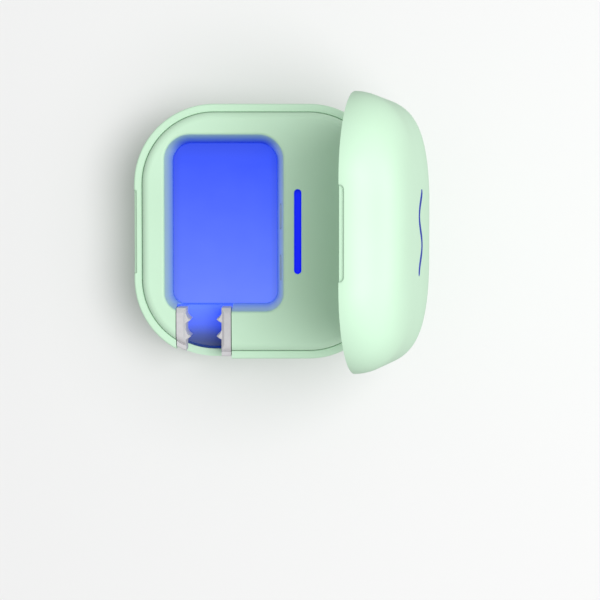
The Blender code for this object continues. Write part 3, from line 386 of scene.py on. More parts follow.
windowLow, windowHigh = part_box("uv_window")
neck = {
    "width": 15.3 * mm,
    "fromChamber": 10.6 * mm,  # slot's middle from the chamber's left side
    "floorStep": 1.5 * mm,  # above the window
}
chamber = {
    "width": 32.4 * mm,
    "sideMargin": 8.5 * mm,  # from the pod's left side
    "topMargin": 8.6 * mm,
    "bottomMargin": 13.2 * mm,
    "topCorner": 6.8 * mm,
    "bottomCorner": 5.0 * mm,
    "draft": 1.4 * mm,
    "edgeRound": 0.8 * mm,
}
windowTop = -windowLow.y
slotFloor = windowTop + neck["floorStep"]
chamberLeft = -podHalf + chamber["sideMargin"]
chamberRight = chamberLeft + chamber["width"]
chamberTop = podHalf - chamber["topMargin"]
chamberBottom = -podHalf + chamber["bottomMargin"]
neckMiddle = chamberLeft + neck["fromChamber"]
barLow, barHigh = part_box("status_bar")
barCentre = (barLow + barHigh) / 2
finishes = {
    "mint": mouldedPlastic("mouldedMintAbs", "#cbedd1", "#c8eacd", 0.46, 0.22, 0.12),
    # painted shade: the last numbers darken the window's glow along its edges and the bar's glow round it, as a
    # shadow gap
    "window": litPlastic("opalPolycarbonateBlueLit", "#060a28",
                         [(0.05, "#6480fd"), (0.35, "#5472fd"), (0.95, "#2c50fa")], windowLow, windowHigh,
                         2.6 * mm, 0.86, 0.45, 0.25),
    "bar": litPlastic("acrylicLightPipeBlueLit", "#01020c", [(0.1, "#0818f2"), (0.9, "#0c22f2")],
                      barLow, barHigh, 1.1 * mm, 0.55, 0.4, 0.08),
    "wave": mouldedPlastic("dyedBlueAcrylic", "#052cb0", "#04249c", 0.4, 0.5, 0.05, 0.05),
    # painted shade: the quartz is tinted deep blue so the slits in front of the side lamps read as dark lines
    "lens": clearPlastic("fusedQuartz", "#1c2a66", 0.04, 1.46),
    "guide": clearPlastic("clearAcrylic", "#eaf2ff", 0.08, 1.49),
    "grip": siliconeRubber("greySilicone", "#d2d0d3", "#cdcace"),
    "board": solderMask("greenSolderMask", "#1f6b3c", "#15512c"),
    "led": mouldedPlastic("lampCeramic", "#efe6c4", "#e6dcb4", 0.4, 0.3, 0.1),
    "chip": mouldedPlastic("chipEpoxy", "#1c1c1e", "#141416", 0.45, 0.2, 0.3),
    "nylon": mouldedPlastic("connectorNylon", "#ece9dd", "#e2decf", 0.5, 0.3, 0.15),
    "steel": platedMetal("nickelPlatedSteel", "#cfcdc8", 0.28, 0.3),
    "magnet": platedMetal("nickelPlatedMagnet", "#d6d6d8", 0.2, 0.6),
    "foil": pouchFoil("batteryPouchFoil", "#c4c7cb"),
    "pad": suctionFoam("whiteSuctionFoam", "#e8e8e4", "#cfcfca"),
    "red_wire": mouldedPlastic("redWireSleeve", "#b3201c", "#9c1a17", 0.45, 0.4, 0.1),
    "black_wire": mouldedPlastic("blackWireSleeve", "#1a1a1a", "#121212", 0.45, 0.4, 0.1),
}


# painted light and shade on the tray's plastic: the lamps' blue as a darkening tint by depth, a glow, a haze, a
# spill and a dimming along the neck slot, and the top wall's shadow
lampLight = {
    "tint": [(0.0, "#ffffff"), (0.15, "#eef1f8"), (0.55, "#b6c0f2"), (1.0, "#5666dc")],  # by depth
    "glow": "#1c40ee",
    "wallShare": 0.28,  # of the glow, at the foot of the chamber's walls
    "haze": [(0.0, "#000000"), (0.2, "#46464c"), (0.55, "#464654"), (1.0, "#000000")],  # by depth
    "shadeBelowTop": (4.0 * mm, 1.6 * mm),  # the top wall's shadow fades in between these
    "shadeShare": 0.4,
    "spill": [(0.18, 0.0), (0.45, 0.25), (0.66, 0.75), (0.9, 0.93)],  # along the neck slot
    "slotDim": 0.35,  # least light in the neck slot
    "slotFloor": (0.6, 0.88),  # depths that count as the slot's floor
}


def lampLitPlastic(name):
    # the tray's mint plastic, with the lamps' blue light and shade painted on down the chamber's walls and along
    # the neck slot
    material = finishes["mint"].copy()
    material.name = name
    tree = material.node_tree
    shader = tree.nodes["Principled BSDF"]
    plain = shader.inputs["Base Color"].links[0].from_socket
    where = addNode(tree, "ShaderNodeTexCoord").outputs["Object"]
    split = addNode(tree, "ShaderNodeSeparateXYZ", {"Vector": where})
    x, z = split.outputs["X"], split.outputs["Z"]
    depth = addNode(tree, "ShaderNodeMapRange", {"Value": split.outputs["Y"], "From Min": -panelTop,
                                                 "From Max": -windowTop})
    half = neck["width"] / 2
    areas = []
    for left, right, bottom, top in (
            (chamberLeft, chamberRight, chamberBottom, chamberTop),
            (neckMiddle - half, neckMiddle + half, -podHalf, chamberBottom + chamber["draft"])):
        sides = {0: within(tree, x, left, right), 1: within(tree, z, bottom, top)}
        areas.append(addNode(tree, "ShaderNodeMath", sides, operation="MULTIPLY"))
    chamberArea, slotArea = areas
    # painted shadow: the top wall takes the painted blue shade in full, the other walls only shadeShare of it
    fadeStart, fadeEnd = (chamberTop - distance for distance in lampLight["shadeBelowTop"])
    fade = {"Value": z, "From Min": fadeStart, "From Max": fadeEnd}
    upper = addNode(tree, "ShaderNodeMapRange", {**fade, "To Min": lampLight["shadeShare"], "To Max": 1.0})
    lower = addNode(tree, "ShaderNodeMapRange", {**fade, "To Min": 1.0, "To Max": 0.0})
    walls = addNode(tree, "ShaderNodeMath", {0: upper, 1: chamberArea}, operation="MULTIPLY")
    area = addNode(tree, "ShaderNodeMath", {0: walls, 1: slotArea}, operation="MAXIMUM")
    inside = addNode(tree, "ShaderNodeMath", {0: depth, 1: chamberArea}, operation="MULTIPLY")
    # painted light and shade: the plastic's colour times a blue tint by depth, dimmed towards the mouth of the
    # slot
    paintedLightShare = addNode(tree, "ShaderNodeMath", {0: depth, 1: area}, operation="MULTIPLY")
    tint = ramp(tree, paintedLightShare, [(stop, linear(colour)) for stop, colour in lampLight["tint"]])
    paintedBlueColour = addNode(tree, "ShaderNodeVectorMath", {0: plain, 1: tint}, operation="MULTIPLY")
    # painted shade: the slot darkens towards its mouth, down to slotDim
    run = addNode(tree, "ShaderNodeMapRange", {"Value": z, "From Min": -podHalf, "From Max": chamberBottom})
    dim = addNode(tree, "ShaderNodeMath", {0: run, 1: lampLight["slotDim"]}, operation="MAXIMUM")
    dimmed = addNode(tree, "ShaderNodeMix", {"Factor": slotArea, "A": 1.0, "B": dim})
    paintedLightAndShade = addNode(tree, "ShaderNodeVectorMath", {0: paintedBlueColour, "Scale": dimmed}, operation="SCALE")
    tree.links.new(paintedLightAndShade.outputs[0], shader.inputs["Base Color"])
    # painted light: a blue glow on the slot's floor and low on the walls
    spill = ramp(tree, run, [(stop, grey(value)) for stop, value in lampLight["spill"]])
    shallow, deep = lampLight["slotFloor"]
    floorShare = addNode(tree, "ShaderNodeMapRange", {"Value": depth, "From Min": shallow, "From Max": deep})
    inSlot = addNode(tree, "ShaderNodeMath", {0: floorShare, 1: slotArea}, operation="MULTIPLY")
    amount = addNode(tree, "ShaderNodeMath", {0: spill, 1: inSlot}, operation="MULTIPLY")
    wallGlow = addNode(tree, "ShaderNodeMath", {0: inside, 1: 2.0}, operation="POWER")
    wallShare = addNode(tree, "ShaderNodeMath", {0: wallGlow, 1: lampLight["wallShare"], 2: amount},
                        operation="MULTIPLY_ADD")
    glow = addNode(tree, "ShaderNodeVectorMath", {0: linear(lampLight["glow"])[:3], "Scale": wallShare},
                   operation="SCALE")
    # painted light: a haze as if light came through the walls from behind, halfway down
    haze = ramp(tree, inside, [(stop, linear(colour)) for stop, colour in lampLight["haze"]])
    outside = addNode(tree, "ShaderNodeMath", {0: lower, 1: slotArea}, operation="SUBTRACT", use_clamp=True)
    paintedHaze = addNode(tree, "ShaderNodeVectorMath", {0: haze, "Scale": outside}, operation="SCALE")
    light = addNode(tree, "ShaderNodeVectorMath", {0: glow, 1: paintedHaze}, operation="ADD")
    tree.links.new(light.outputs[0], shader.inputs["Emission Color"])
    setShader(shader, Emission_Strength=1.0)
    return material


for name, node in frame["nodes"].items():
    node.data.materials.clear()
    node.data.materials.append(finishes[slotOf[name]])
print("materials made")


# ---- geometry node trees


def newTree(name, sizes):
    # a tree with named inputs for its sizes, each (name, socket type, default)
    tree = bpy.data.node_groups.new(name, "GeometryNodeTree")
    tree.interface.new_socket("Geometry", in_out="INPUT", socket_type="NodeSocketGeometry")
    for label, kind, default in sizes:
        socket = tree.interface.new_socket(label, in_out="INPUT", socket_type=kind)
        if default is not None:
            socket.default_value = default
    tree.interface.new_socket("Geometry", in_out="OUTPUT", socket_type="NodeSocketGeometry")
    return tree, tree.nodes.new("NodeGroupInput").outputs


def endTree(tree, geometry, material):
    real = addNode(tree, "GeometryNodeRealizeInstances", {"Geometry": geometry})
    coat = addNode(tree, "GeometryNodeSetMaterial", {"Geometry": real, "Material": material})
    addNode(tree, "NodeGroupOutput", {"Geometry": coat.outputs["Geometry"]})
    return tree


def grow(name, tree, values, start=None):
    # runs a tree on a start mesh and keeps the result as a plain mesh
    obj = newObject(name, start or bpy.data.meshes.new(name))
    modifier = obj.modifiers.new("grow", "NODES")
    modifier.node_group = tree
    for item in tree.interface.items_tree:
        if item.in_out == "INPUT" and item.name in values:
            modifier[item.identifier] = values[item.name]
    return applied(obj)


def domeTree():
    # the lid's form: the outline shrinks by q while it climbs to depth * (1 - q ** side) ** (1 / front)
    tree, given = newTree("lidDome", [
        ("Half Width", "NodeSocketFloat", 0.035), ("Depth", "NodeSocketFloat", 0.014),
        ("Corner", "NodeSocketFloat", 0.022), ("Corner Steps", "NodeSocketInt", 26),
        ("Side Power", "NodeSocketFloat", 5.0), ("Front Power", "NodeSocketFloat", 1.92),
        ("Rim", "NodeSocketFloat", 0.0), ("Rings", "NodeSocketInt", 60), ("Around", "NodeSocketInt", 260),
        ("Material", "NodeSocketMaterial", None)])

    width = addNode(tree, "ShaderNodeMath", {0: given["Half Width"], 1: 2.0}, operation="MULTIPLY")
    square = addNode(tree, "GeometryNodeCurvePrimitiveQuadrilateral", {"Width": width, "Height": width})
    outline = addNode(tree, "GeometryNodeFilletCurve", {"Curve": square, "Radius": given["Corner"],
                                                        "Count": given["Corner Steps"]}, mode="POLY")
    columns = addNode(tree, "ShaderNodeMath", {0: given["Around"], 1: 1.0}, operation="ADD")
    grid = addNode(tree, "GeometryNodeMeshGrid", {"Size X": 1.0, "Size Y": 1.0, "Vertices X": given["Rings"],
                                                  "Vertices Y": columns})
    position = addNode(tree, "GeometryNodeInputPosition")
    split = addNode(tree, "ShaderNodeSeparateXYZ", {0: position})
    along = addNode(tree, "ShaderNodeMath", {0: split.outputs["X"], 1: 0.5}, operation="ADD")
    around = addNode(tree, "ShaderNodeMath", {0: split.outputs["Y"], 1: 0.5}, operation="ADD")
    wallShare = 0.94  # of the rings climb the dome, and the rest close its open side
    crowding = 2.2  # how much the rings crowd together near the rim
    climbed = addNode(tree, "ShaderNodeMath", {0: along, 1: wallShare}, operation="DIVIDE")
    climb = addNode(tree, "ShaderNodeMath", {0: climbed, 1: 1.0}, operation="MINIMUM")
    left = addNode(tree, "ShaderNodeMath", {0: 1.0, 1: climb}, operation="SUBTRACT")
    bunch = addNode(tree, "ShaderNodeMath", {0: left, 1: crowding}, operation="POWER")
    shrink = addNode(tree, "ShaderNodeMath", {0: 1.0, 1: bunch}, operation="SUBTRACT")
    bowed = addNode(tree, "ShaderNodeMath", {0: shrink, 1: given["Side Power"]}, operation="POWER")
    drop = addNode(tree, "ShaderNodeMath", {0: 1.0, 1: bowed}, operation="SUBTRACT")
    root = addNode(tree, "ShaderNodeMath", {0: 1.0, 1: given["Front Power"]}, operation="DIVIDE")
    rounded = addNode(tree, "ShaderNodeMath", {0: drop, 1: root}, operation="POWER")
    rise = addNode(tree, "ShaderNodeMath", {0: given["Depth"], 1: rounded}, operation="MULTIPLY")
    level = addNode(tree, "ShaderNodeMath", {0: rise, 1: given["Rim"]}, operation="MAXIMUM")
    remaining = addNode(tree, "ShaderNodeMath", {0: 1.0, 1: along}, operation="SUBTRACT")
    closing = addNode(tree, "ShaderNodeMath", {0: remaining, 1: 1.0 - wallShare}, operation="DIVIDE")
    share = addNode(tree, "ShaderNodeMath", {0: shrink, 1: closing}, operation="MINIMUM")
    spot = addNode(tree, "GeometryNodeSampleCurve", {"Curves": outline, "Factor": around},
                   mode="FACTOR", use_all_curves=True)
    flat = addNode(tree, "ShaderNodeVectorMath", {0: spot.outputs["Position"], "Scale": share},
                   operation="SCALE")
    lift = addNode(tree, "ShaderNodeCombineXYZ", {"Z": level})
    place = addNode(tree, "ShaderNodeVectorMath", {0: flat, 1: lift}, operation="ADD")
    bent = addNode(tree, "GeometryNodeSetPosition", {"Geometry": grid.outputs["Mesh"], "Position": place})
    whole = addNode(tree, "GeometryNodeMergeByDistance", {"Geometry": bent.outputs["Geometry"],
                                                          "Distance": 0.002 * mm})
    return endTree(tree, whole.outputs["Geometry"], given["Material"])


def repeatTree():
    # one piece at every point of the start mesh
    tree, given = newTree("pieceAtEachPoint", [
        ("Piece", "NodeSocketObject", None), ("Material", "NodeSocketMaterial", None)])
    piece = addNode(tree, "GeometryNodeObjectInfo", {"Object": given["Piece"], "As Instance": True})
    points = addNode(tree, "GeometryNodeMeshToPoints", {"Mesh": given["Geometry"]})
    copies = addNode(tree, "GeometryNodeInstanceOnPoints", {"Points": points.outputs["Points"],
                                                            "Instance": piece.outputs["Geometry"]})
    return endTree(tree, copies.outputs["Instances"], given["Material"])


dome = domeTree()
eachPoint = repeatTree()


def outwards(obj):
    work = bmesh.new()
    work.from_mesh(obj.data)
    bmesh.ops.recalc_face_normals(work, faces=work.faces)
    work.to_mesh(obj.data)
    work.free()
    return obj


def repeated(name, piece, places, material):
    # places are points in the pod's frame; the one piece is drawn round the origin
    start = bpy.data.meshes.new(name)
    start.from_pydata(places, [], [])
    obj = grow(name, eachPoint, {"Piece": piece, "Material": material}, start)
    bpy.data.objects.remove(piece)
    return obj


# ---- shared cutters


hingeSizes = {
    "knuckle": 1.9 * mm,  # radius
    "bore": 0.95 * mm,
    "length": 25.0 * mm,
    "lidKnuckle": 16.0 * mm,
}
nailSlot = {
    "length": 22.9 * mm,
    "reach": 1.3 * mm,  # each side of the parting plane
    "depth": 0.8 * mm,
}


def knuckleEnds():
    inner = hingeSizes["lidKnuckle"] / 2 + pod["seam"]
    outer = hingeSizes["length"] / 2
    return (("upper", inner, outer), ("lower", -outer, -inner))


def nailSlotTool(level):
    # a scoop with a rounded outer edge, across the parting plane on the free side
    across = Matrix(((0, 0, 1, 0), (1, 0, 0, 0), (0, 1, 0, level), (0, 0, 0, 1)))
    sections = []
    for flare, x in ((0.5, -podHalf - 2 * mm), (0.5, -podHalf), (0.2, -podHalf + 0.08 * mm),
                     (0.05, -podHalf + 0.25 * mm), (0.0, -podHalf + nailSlot["depth"] * 0.7),
                     (-0.25, -podHalf + nailSlot["depth"])):
        grown = flare * mm
        long = nailSlot["length"] / 2 + grown
        tall = nailSlot["reach"] + grown
        outline = roundedOutline(-long, long, -tall, tall, [tall * 0.9] * 4, 10)
        sections.append((outline, x))
    return loft("nailSlot", sections, turn=across)


def neckSlotTool():
    left = neckMiddle - neck["width"] / 2
    right = neckMiddle + neck["width"] / 2
    top = chamberBottom + chamber["draft"] + pod["seam"]
    outline = [(left, -2 * podHalf), (right, -2 * podHalf), (right, top), (left, top)]
    return loft("neckSlot", [(outline, slotFloor), (outline, 2 * panelTop)])


# ---- lid


lidShape = {
    "depth": 13.85 * mm,
    "frontWall": 2.0 * mm,
    "innerCorner": 19.89 * mm,  # a hair under an even wall's 19.95
    "innerMouth": 2 * mm,  # the hollow starts this far below the parting plane
    "sidePower": 5.0,  # how square the dome's side is
    "frontPower": 1.92,
    "rimRound": 0.5 * mm,
    "rings": 64,
    "around": 280,
}
stopRib = {
    "turn": 23.5,  # degrees above the pod's face when shut
    "start": 1.35 * mm,  # from the hinge's axis
    "reach": 2.8 * mm,
    "half": 0.5 * mm,  # half its thickness
    "end": 1 * mm,  # short of each end of the knuckle
}
wave = {
    "length": 20.2 * mm,
    "period": 15.0 * mm,
    "crest": 4.2 * mm,  # where it swings furthest to the left
    "swing": 2.2 * mm,
    "width": 2.0 * mm,
    "shift": 2.6 * mm,
    "gap": 0.05 * mm,
    "proud": 0.05 * mm,
}


def waveOutline(grown):
    steps = 64
    reach = wave["width"] / 2 + grown
    centre = []
    for step in range(steps + 1):
        along = wave["length"] * (step / steps - 0.5)
        turn = 2 * math.pi * (along - wave["crest"]) / wave["period"]
        centre.append(Vector((wave["shift"] - wave["swing"] * math.cos(turn), along)))
    left, right = [], []
    for index, point in enumerate(centre):
        run = (centre[min(index + 1, steps)] - centre[max(index - 1, 0)]).normalized()
        side = Vector((run.y, -run.x)) * reach
        right.append(point + side)
        left.append(point - side)

    def cap(middle, start):
        spoke = start - middle
        turns = [math.pi * step / 10 for step in range(1, 10)]
        return [middle + Matrix.Rotation(turn, 2) @ spoke for turn in turns]

    return right + cap(centre[-1], right[-1]) + left[::-1] + cap(centre[0], left[0])


def domeLevel(x, y, half, depth):
    # how high the dome stands over a point near its middle, where its outline is straight-sided
    share = max(abs(x), abs(y)) / half
    return depth * (1 - share ** lidShape["sidePower"]) ** (1 / lidShape["frontPower"])


def lidSolid(name, half, corner, depth, rim):
    return outwards(grow(name, dome, {
        "Half Width": half, "Depth": depth, "Corner": corner,
        "Corner Steps": pod["cornerSteps"], "Side Power": lidShape["sidePower"],
        "Front Power": lidShape["frontPower"], "Rim": rim, "Rings": lidShape["rings"],
        "Around": lidShape["around"], "Material": finishes["mint"]}))


def makeLidShell():
    shell = lidSolid("lidShell", podHalf, pod["corner"], lidShape["depth"], pod["seam"] / 2)
    hollow = lidSolid("lidHollow", podHalf - pod["wall"], lidShape["innerCorner"],
                      lidShape["depth"] - lidShape["frontWall"], -lidShape["innerMouth"])
    shape(shell, [hollow])
    soften(shell, lidShape["rimRound"], 4, 60)
    reliefs = [rod(f"relief{end}", hingeSizes["knuckle"] + pod["seam"], podHalf, 0,
                   low - pod["seam"] * (end == "lower"), high + pod["seam"])
               for end, low, high in knuckleEnds()]
    shape(shell, reliefs)
    reach = hingeSizes["lidKnuckle"] / 2
    near, far, half, end = stopRib["start"], stopRib["reach"], stopRib["half"], stopRib["end"]
    stop = [(near, -half), (far, -half), (far, half), (near, half)]
    stopTurn = Matrix.Translation((podHalf, 0, 0)) @ Matrix.Rotation(math.radians(90), 4, "X")
    stopTurn = stopTurn @ Matrix.Rotation(math.radians(stopRib["turn"]), 4, "Z")
    shape(shell, [rod("lidKnuckle", hingeSizes["knuckle"], podHalf, 0, -reach, reach),
                  loft("stopRib", [(stop, -reach + end), (stop, reach - end)], turn=stopTurn)], "UNION")
    slot = waveOutline(wave["gap"])
    shape(shell, [rod("pinBore", hingeSizes["bore"], podHalf, 0, -podHalf, podHalf), nailSlotTool(0),
                  loft("waveSlot", [(slot, lidShape["depth"] / 2), (slot, 2 * lidShape["depth"])])])
    return settle(shell, toLid, "lid", ["lid_shell"])


def makeWaveLight():
    # a lens in the wave's slot, whose face follows the dome, a hair proud of it
    low = lidShape["depth"] - lidShape["frontWall"]
    # each ring's inset, and its drop below the dome
    face = [(waveOutline(-edge), drop) for edge, drop in
            ((0.0, 0.02 * mm), (0.05 * mm, -wave["proud"] * 0.7), (0.15 * mm, -wave["proud"]))]
    loops = [[(p.x, p.y, low) for p in waveOutline(0.0)]]
    for outline, drop in face:
        loops.append([(p.x, p.y, domeLevel(p.x, p.y, podHalf, lidShape["depth"]) - drop) for p in outline])
    return settle(skin("lidWaveLight", loops), toLid, "lid", ["lid_wave_light"])


liner = {
    "level": 2.7 * mm,
    "thickness": 1.2 * mm,
    "flange": 6.0 * mm,
    "dish": 6.3 * mm,
    "gap": 1.1 * mm,  # inside the lid's wall
    "rings": 20,  # from the dish's mouth to its middle
    "crowding": 2.2,
    "edge": 0.3 * mm,
    "lipRound": 0.5 * mm,
    "slotHalf": (1.1 * mm, 11.7 * mm),  # over the light guide
    "slotCorner": 1.08 * mm,
}


def dishSections(half, level, rising):
    # the liner's dish, from its mouth to its flat bottom
    sections = []
    for step in range(1, liner["rings"] - 1):
        share = 1 - (step / liner["rings"]) ** liner["crowding"]
        climb = liner["dish"] * (1 - share ** lidShape["sidePower"]) ** (1 / lidShape["frontPower"])
        outline = [(x * share, y * share) for x, y in podOutline(half)]
        sections.append((outline, level + climb * rising))
    return sections


def makeLiner():
    outer = podHalf - pod["wall"] - liner["gap"]
    dish = outer - liner["flange"]
    top = liner["level"] + liner["thickness"]
    upper = dishSections(dish + liner["thickness"], top, 1)[::-1]
    lower = dishSections(dish, liner["level"], 1)
    edge, lipRound = liner["edge"], liner["lipRound"]
    flange = [(podOutline(outer - edge), top), (podOutline(outer), top - edge),
              (podOutline(outer), liner["level"] + edge), (podOutline(outer - edge), liner["level"])]
    lip = [(podOutline(dish + lipRound * (1 - s)), liner["level"] + lipRound * (1 - c))
           for s, c in quarterRound(4)]
    piece = loft("lidLiner", upper + flange + lip + lower)
    reach, long = liner["slotHalf"]
    slot = roundedOutline(barCentre.x - reach, barCentre.x + reach, -long, long, [liner["slotCorner"]] * 4, 8)
    shape(piece, [loft("linerSlot", [(slot, 0), (slot, lidShape["depth"])])])
    return settle(piece, toLid, "lid", ["lid_liner"])


makeLidShell()
makeWaveLight()
makeLiner()
print("lid made")


# ---- housing


housing = {
    "roundSide": 6.0 * mm,  # back edge's rounding, along the back
    "roundDepth": 9.0 * mm,  # and off the wall
    "rimRound": 0.5 * mm,
    "padPocket": 23.3 * mm,  # half width
    "padCorner": 12.3 * mm,
    "padDepth": 1.9 * mm,  # pocket's floor, off the wall
    "trayGap": 0.14 * mm,
    "edge": 0.15 * mm,
    "boss": 2.6 * mm,  # radius
    "bossStart": 1.2 * mm,  # in the back wall
    "bossHeight": 2.6 * mm,
    "counterbore": 1.8 * mm,  # radius
    "counterboreDepth": 2.4 * mm,
    "counterboreEdge": 0.25 * mm,
    "hole": 1.15 * mm,  # radius
    "holeTop": 4 * mm,  # above the floor
    "socketMiddle": 8.0 * mm,
    "socketHalf": (4.75 * mm, 1.9 * mm),
}
screwNodes = [f"tray_screw_{place}" for place in ("top_left", "top_right", "bottom_left", "bottom_right")]


def middle(node):
    low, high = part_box(node)
    return (low + high) / 2


screwPlaces = [(middle(node).x, middle(node).z) for node in screwNodes]


def backRound(half, level, side, depth):
    return [(podOutline(half - side * (1 - s)), level + depth * (1 - c)) for s, c in quarterRound(14)]


def makeHousing():
    outside = backRound(podHalf, pod["standOff"], housing["roundSide"], housing["roundDepth"])
    rim = [(podOutline(podHalf - housing["rimRound"] * (1 - c)), rimLevel - housing["rimRound"] * (1 - s))
           for s, c in quarterRound(5)]
    inner = podHalf - pod["wall"]
    edge = housing["edge"]
    lip = trayHalf + housing["trayGap"]
    mouth = [(podOutline(lip + edge), rimLevel), (podOutline(lip), rimLevel - edge),
             (podOutline(lip), rimLevel - 0.8 * mm), (podOutline(inner), rimLevel - 1.0 * mm)]
    inside = backRound(inner, floorLevel, housing["roundSide"] - pod["wall"],
                       housing["roundDepth"] - pod["backWall"])
    shell = loft("backHousing", outside + rim + mouth + inside[::-1])
    knuckles = [rod(f"knuckle{end}", hingeSizes["knuckle"], podHalf, rimPlane, low, high)
                for end, low, high in knuckleEnds()]
    bosses = []
    for index, place in enumerate(screwPlaces):
        outline = circle(housing["boss"], place, 32)
        bosses.append(loft(f"boss{index}", [(outline, pod["standOff"] + housing["bossStart"]),
                                            (outline, floorLevel + housing["bossHeight"])]))
    shape(shell, knuckles + bosses, "UNION")
    half = hingeSizes["lidKnuckle"] / 2 + pod["seam"]
    tools = [rod("relief", hingeSizes["knuckle"] + pod["seam"], podHalf, rimPlane, -half, half),
             rod("bore", hingeSizes["bore"], podHalf, rimPlane, -podHalf, podHalf),
             nailSlotTool(rimPlane), neckSlotTool()]
    for index, place in enumerate(screwPlaces):
        narrow = circle(housing["counterbore"], place)
        wide = circle(housing["counterbore"] + housing["counterboreEdge"], place)
        sink = [(wide, -pod["standOff"]), (wide, pod["standOff"]),
                (narrow, pod["standOff"] + housing["counterboreEdge"]),
                (narrow, pod["standOff"] + housing["counterboreDepth"])]
        hole = circle(housing["hole"], place, 24)
        tools.append(loft(f"sink{index}", sink))
        tools.append(loft(f"hole{index}", [(hole, pod["standOff"]), (hole, floorLevel + housing["holeTop"])]))
    reach = housing["padPocket"]
    pocket = roundedOutline(-reach, reach, -reach, reach, [housing["padCorner"]] * 4, 16)
    flared = roundedOutline(-reach - edge, reach + edge, -reach - edge, reach + edge,
                            [housing["padCorner"]] * 4, 16)
    tools.append(loft("pocket", [(flared, -pod["standOff"]), (flared, pod["standOff"]),
                                 (pocket, pod["standOff"] + edge), (pocket, housing["padDepth"])]))
    tools.append(socketTool())
    shape(shell, tools)
    return settle(shell, toWorld, "base", ["back_housing"])


def socketTool():
    # the charging inlet's opening, with a small lead-in at its mouth
    wide, high = housing["socketHalf"]
    level = -middle("usb_socket").y
    centre = housing["socketMiddle"]
    sections = []
    for grown, y in ((0.0, podHalf - 2 * pod["wall"]), (0.0, podHalf - 0.4 * mm),
                     (0.12 * mm, podHalf - 0.12 * mm), (0.35 * mm, podHalf + 0.02 * mm),
                     (0.35 * mm, podHalf + pod["wall"])):
        outline = roundedOutline(centre - wide - grown, centre + wide + grown,
                                 -high - grown, high + grown, [(high + grown) * 0.98] * 4, 10)
        sections.append((outline, y))
    turn = Matrix.Translation((0, 0, level)) @ Matrix.Rotation(math.radians(90), 4, "X")
    return loft("socketOpening", sections, turn=turn)


def turned(name, profile, sides=32):
    # a turned piece round z through (radius, level) points
    return loft(name, [(circle(radius, sides=sides), level) for radius, level in profile])


trayScrew = {
    "head": 1.6 * mm,  # radius
    "headDepth": 1.2 * mm,
    "shank": 0.95 * mm,  # radius
    "pitch": 0.7 * mm,
    "threadStart": 0.4 * mm,  # below the head
    "root": 0.82,  # thread's root, as a share of the shank
}


def makeTrayScrews():
    low = min(-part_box(node)[1].y for node in screwNodes)
    tip = max(-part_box(node)[0].y for node in screwNodes)
    head, deep, shank = trayScrew["head"], trayScrew["headDepth"], trayScrew["shank"]
    profile = [(head * 0.72, 0), (head * 0.93, 0.12 * mm), (head, 0.35 * mm), (head, deep), (shank, deep)]
    pitch = trayScrew["pitch"]
    root = shank * trayScrew["root"]
    turns = int((tip - low - deep) / pitch) - 1
    for index in range(turns):
        start = deep + trayScrew["threadStart"] + index * pitch
        profile += [(root, start), (shank, start + pitch * 0.4), (root, start + pitch * 0.8)]
    profile.append((shank * 0.3, tip - low))
    screw = turned("screw", profile)
    arm, thin = head * 0.6, 0.3 * mm
    cross = []
    for index, (x, y) in enumerate(((arm, thin), (thin, arm))):
        wide = [(-x, -y), (x, -y), (x, y), (-x, y)]
        narrow = [(px * 0.7, py * 0.7) for px, py in wide]
        cross.append(loft(f"cross{index}", [(wide, -1 * mm), (wide, 0), (narrow, 0.7 * mm)]))
    shape(screw, cross)
    places = [(x, y, low) for x, y in screwPlaces]
    piece = repeated("trayScrews", screw, places, finishes["steel"])
    return settle(piece, toWorld, "base", screwNodes)


def makeWallPad():
    low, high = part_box("wall_pad")
    half, corner, edge = high.x, 12.0 * mm, 0.25 * mm
    outline = roundedOutline(-half, half, -half, half, [corner] * 4, 20)
    inset = roundedOutline(-half + edge, half - edge, -half + edge, half - edge, [corner - edge] * 4, 20)
    top = -low.y
    pad = loft("wallPad", [(inset, 0), (outline, edge), (outline, top)])
    return settle(pad, toWorld, "base", ["wall_pad"])


def makeHingePin():
    low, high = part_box("hinge_pin")
    radius, edge = (high.x - low.x) / 2, 0.15 * mm
    profile = [(radius - edge, low.z), (radius, low.z + edge),
               (radius, high.z - edge), (radius - edge, high.z)]
    pin = turned("hingePin", profile, 36)
    pin.data.transform(Matrix.Translation((middle("hinge_pin").x, middle("hinge_pin").y, 0)))
    return settle(pin, Matrix.Identity(4), "base", ["hinge_pin"])


def makeSocket():
    # the inlet's drawn steel shell, with a rolled mouth
    low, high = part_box("usb_socket")
    centre = middle("usb_socket")
    wide, tall = (high.x - low.x) / 2, (high.y - low.y) / 2
    wallGauge, roll = 0.3 * mm, 0.1 * mm

    def stadium(shrink):
        return roundedOutline(-wide + shrink, wide - shrink, -tall + shrink, tall - shrink,
                              [(tall - shrink) * 0.98] * 4, 12)

    sections = [(stadium(0), high.z), (stadium(0), low.z + roll), (stadium(roll), low.z),
                (stadium(wallGauge - roll), low.z), (stadium(wallGauge), low.z + roll),
                (stadium(wallGauge), high.z - 1 * mm)]
    shell = loft("chargingSocket", sections)
    shell.data.transform(Matrix.Translation((centre.x, centre.y, 0)))
    return settle(shell, Matrix.Identity(4), "base", ["usb_socket"])


makeHousing()
makeTrayScrews()
makeWallPad()
makeHingePin()
makeSocket()
print("housing made")


# ---- tray and chamber


tray = {
    "height": 2.0 * mm,  # the face stands this far out of the rim
    "panel": 2.0 * mm,
    "skirt": 4.5 * mm,
    "skirtWall": 1.5 * mm,
    "chamberWall": 1.5 * mm,
    "barLength": 22.8 * mm,
    "barWidth": 1.6 * mm,
    "barGap": 0.2 * mm,
    "barFlare": 0.15 * mm,
    "ledge": 4.1 * mm,  # ledge under the window, above the housing's floor
    "ledgeReach": 2.2 * mm,  # how far it stands in from the chamber's foot
    "overlap": 0.5 * mm,  # tub and trough run this far into the panel
}
lensNodes = ["side_lens_upper", "side_lens_lower"]


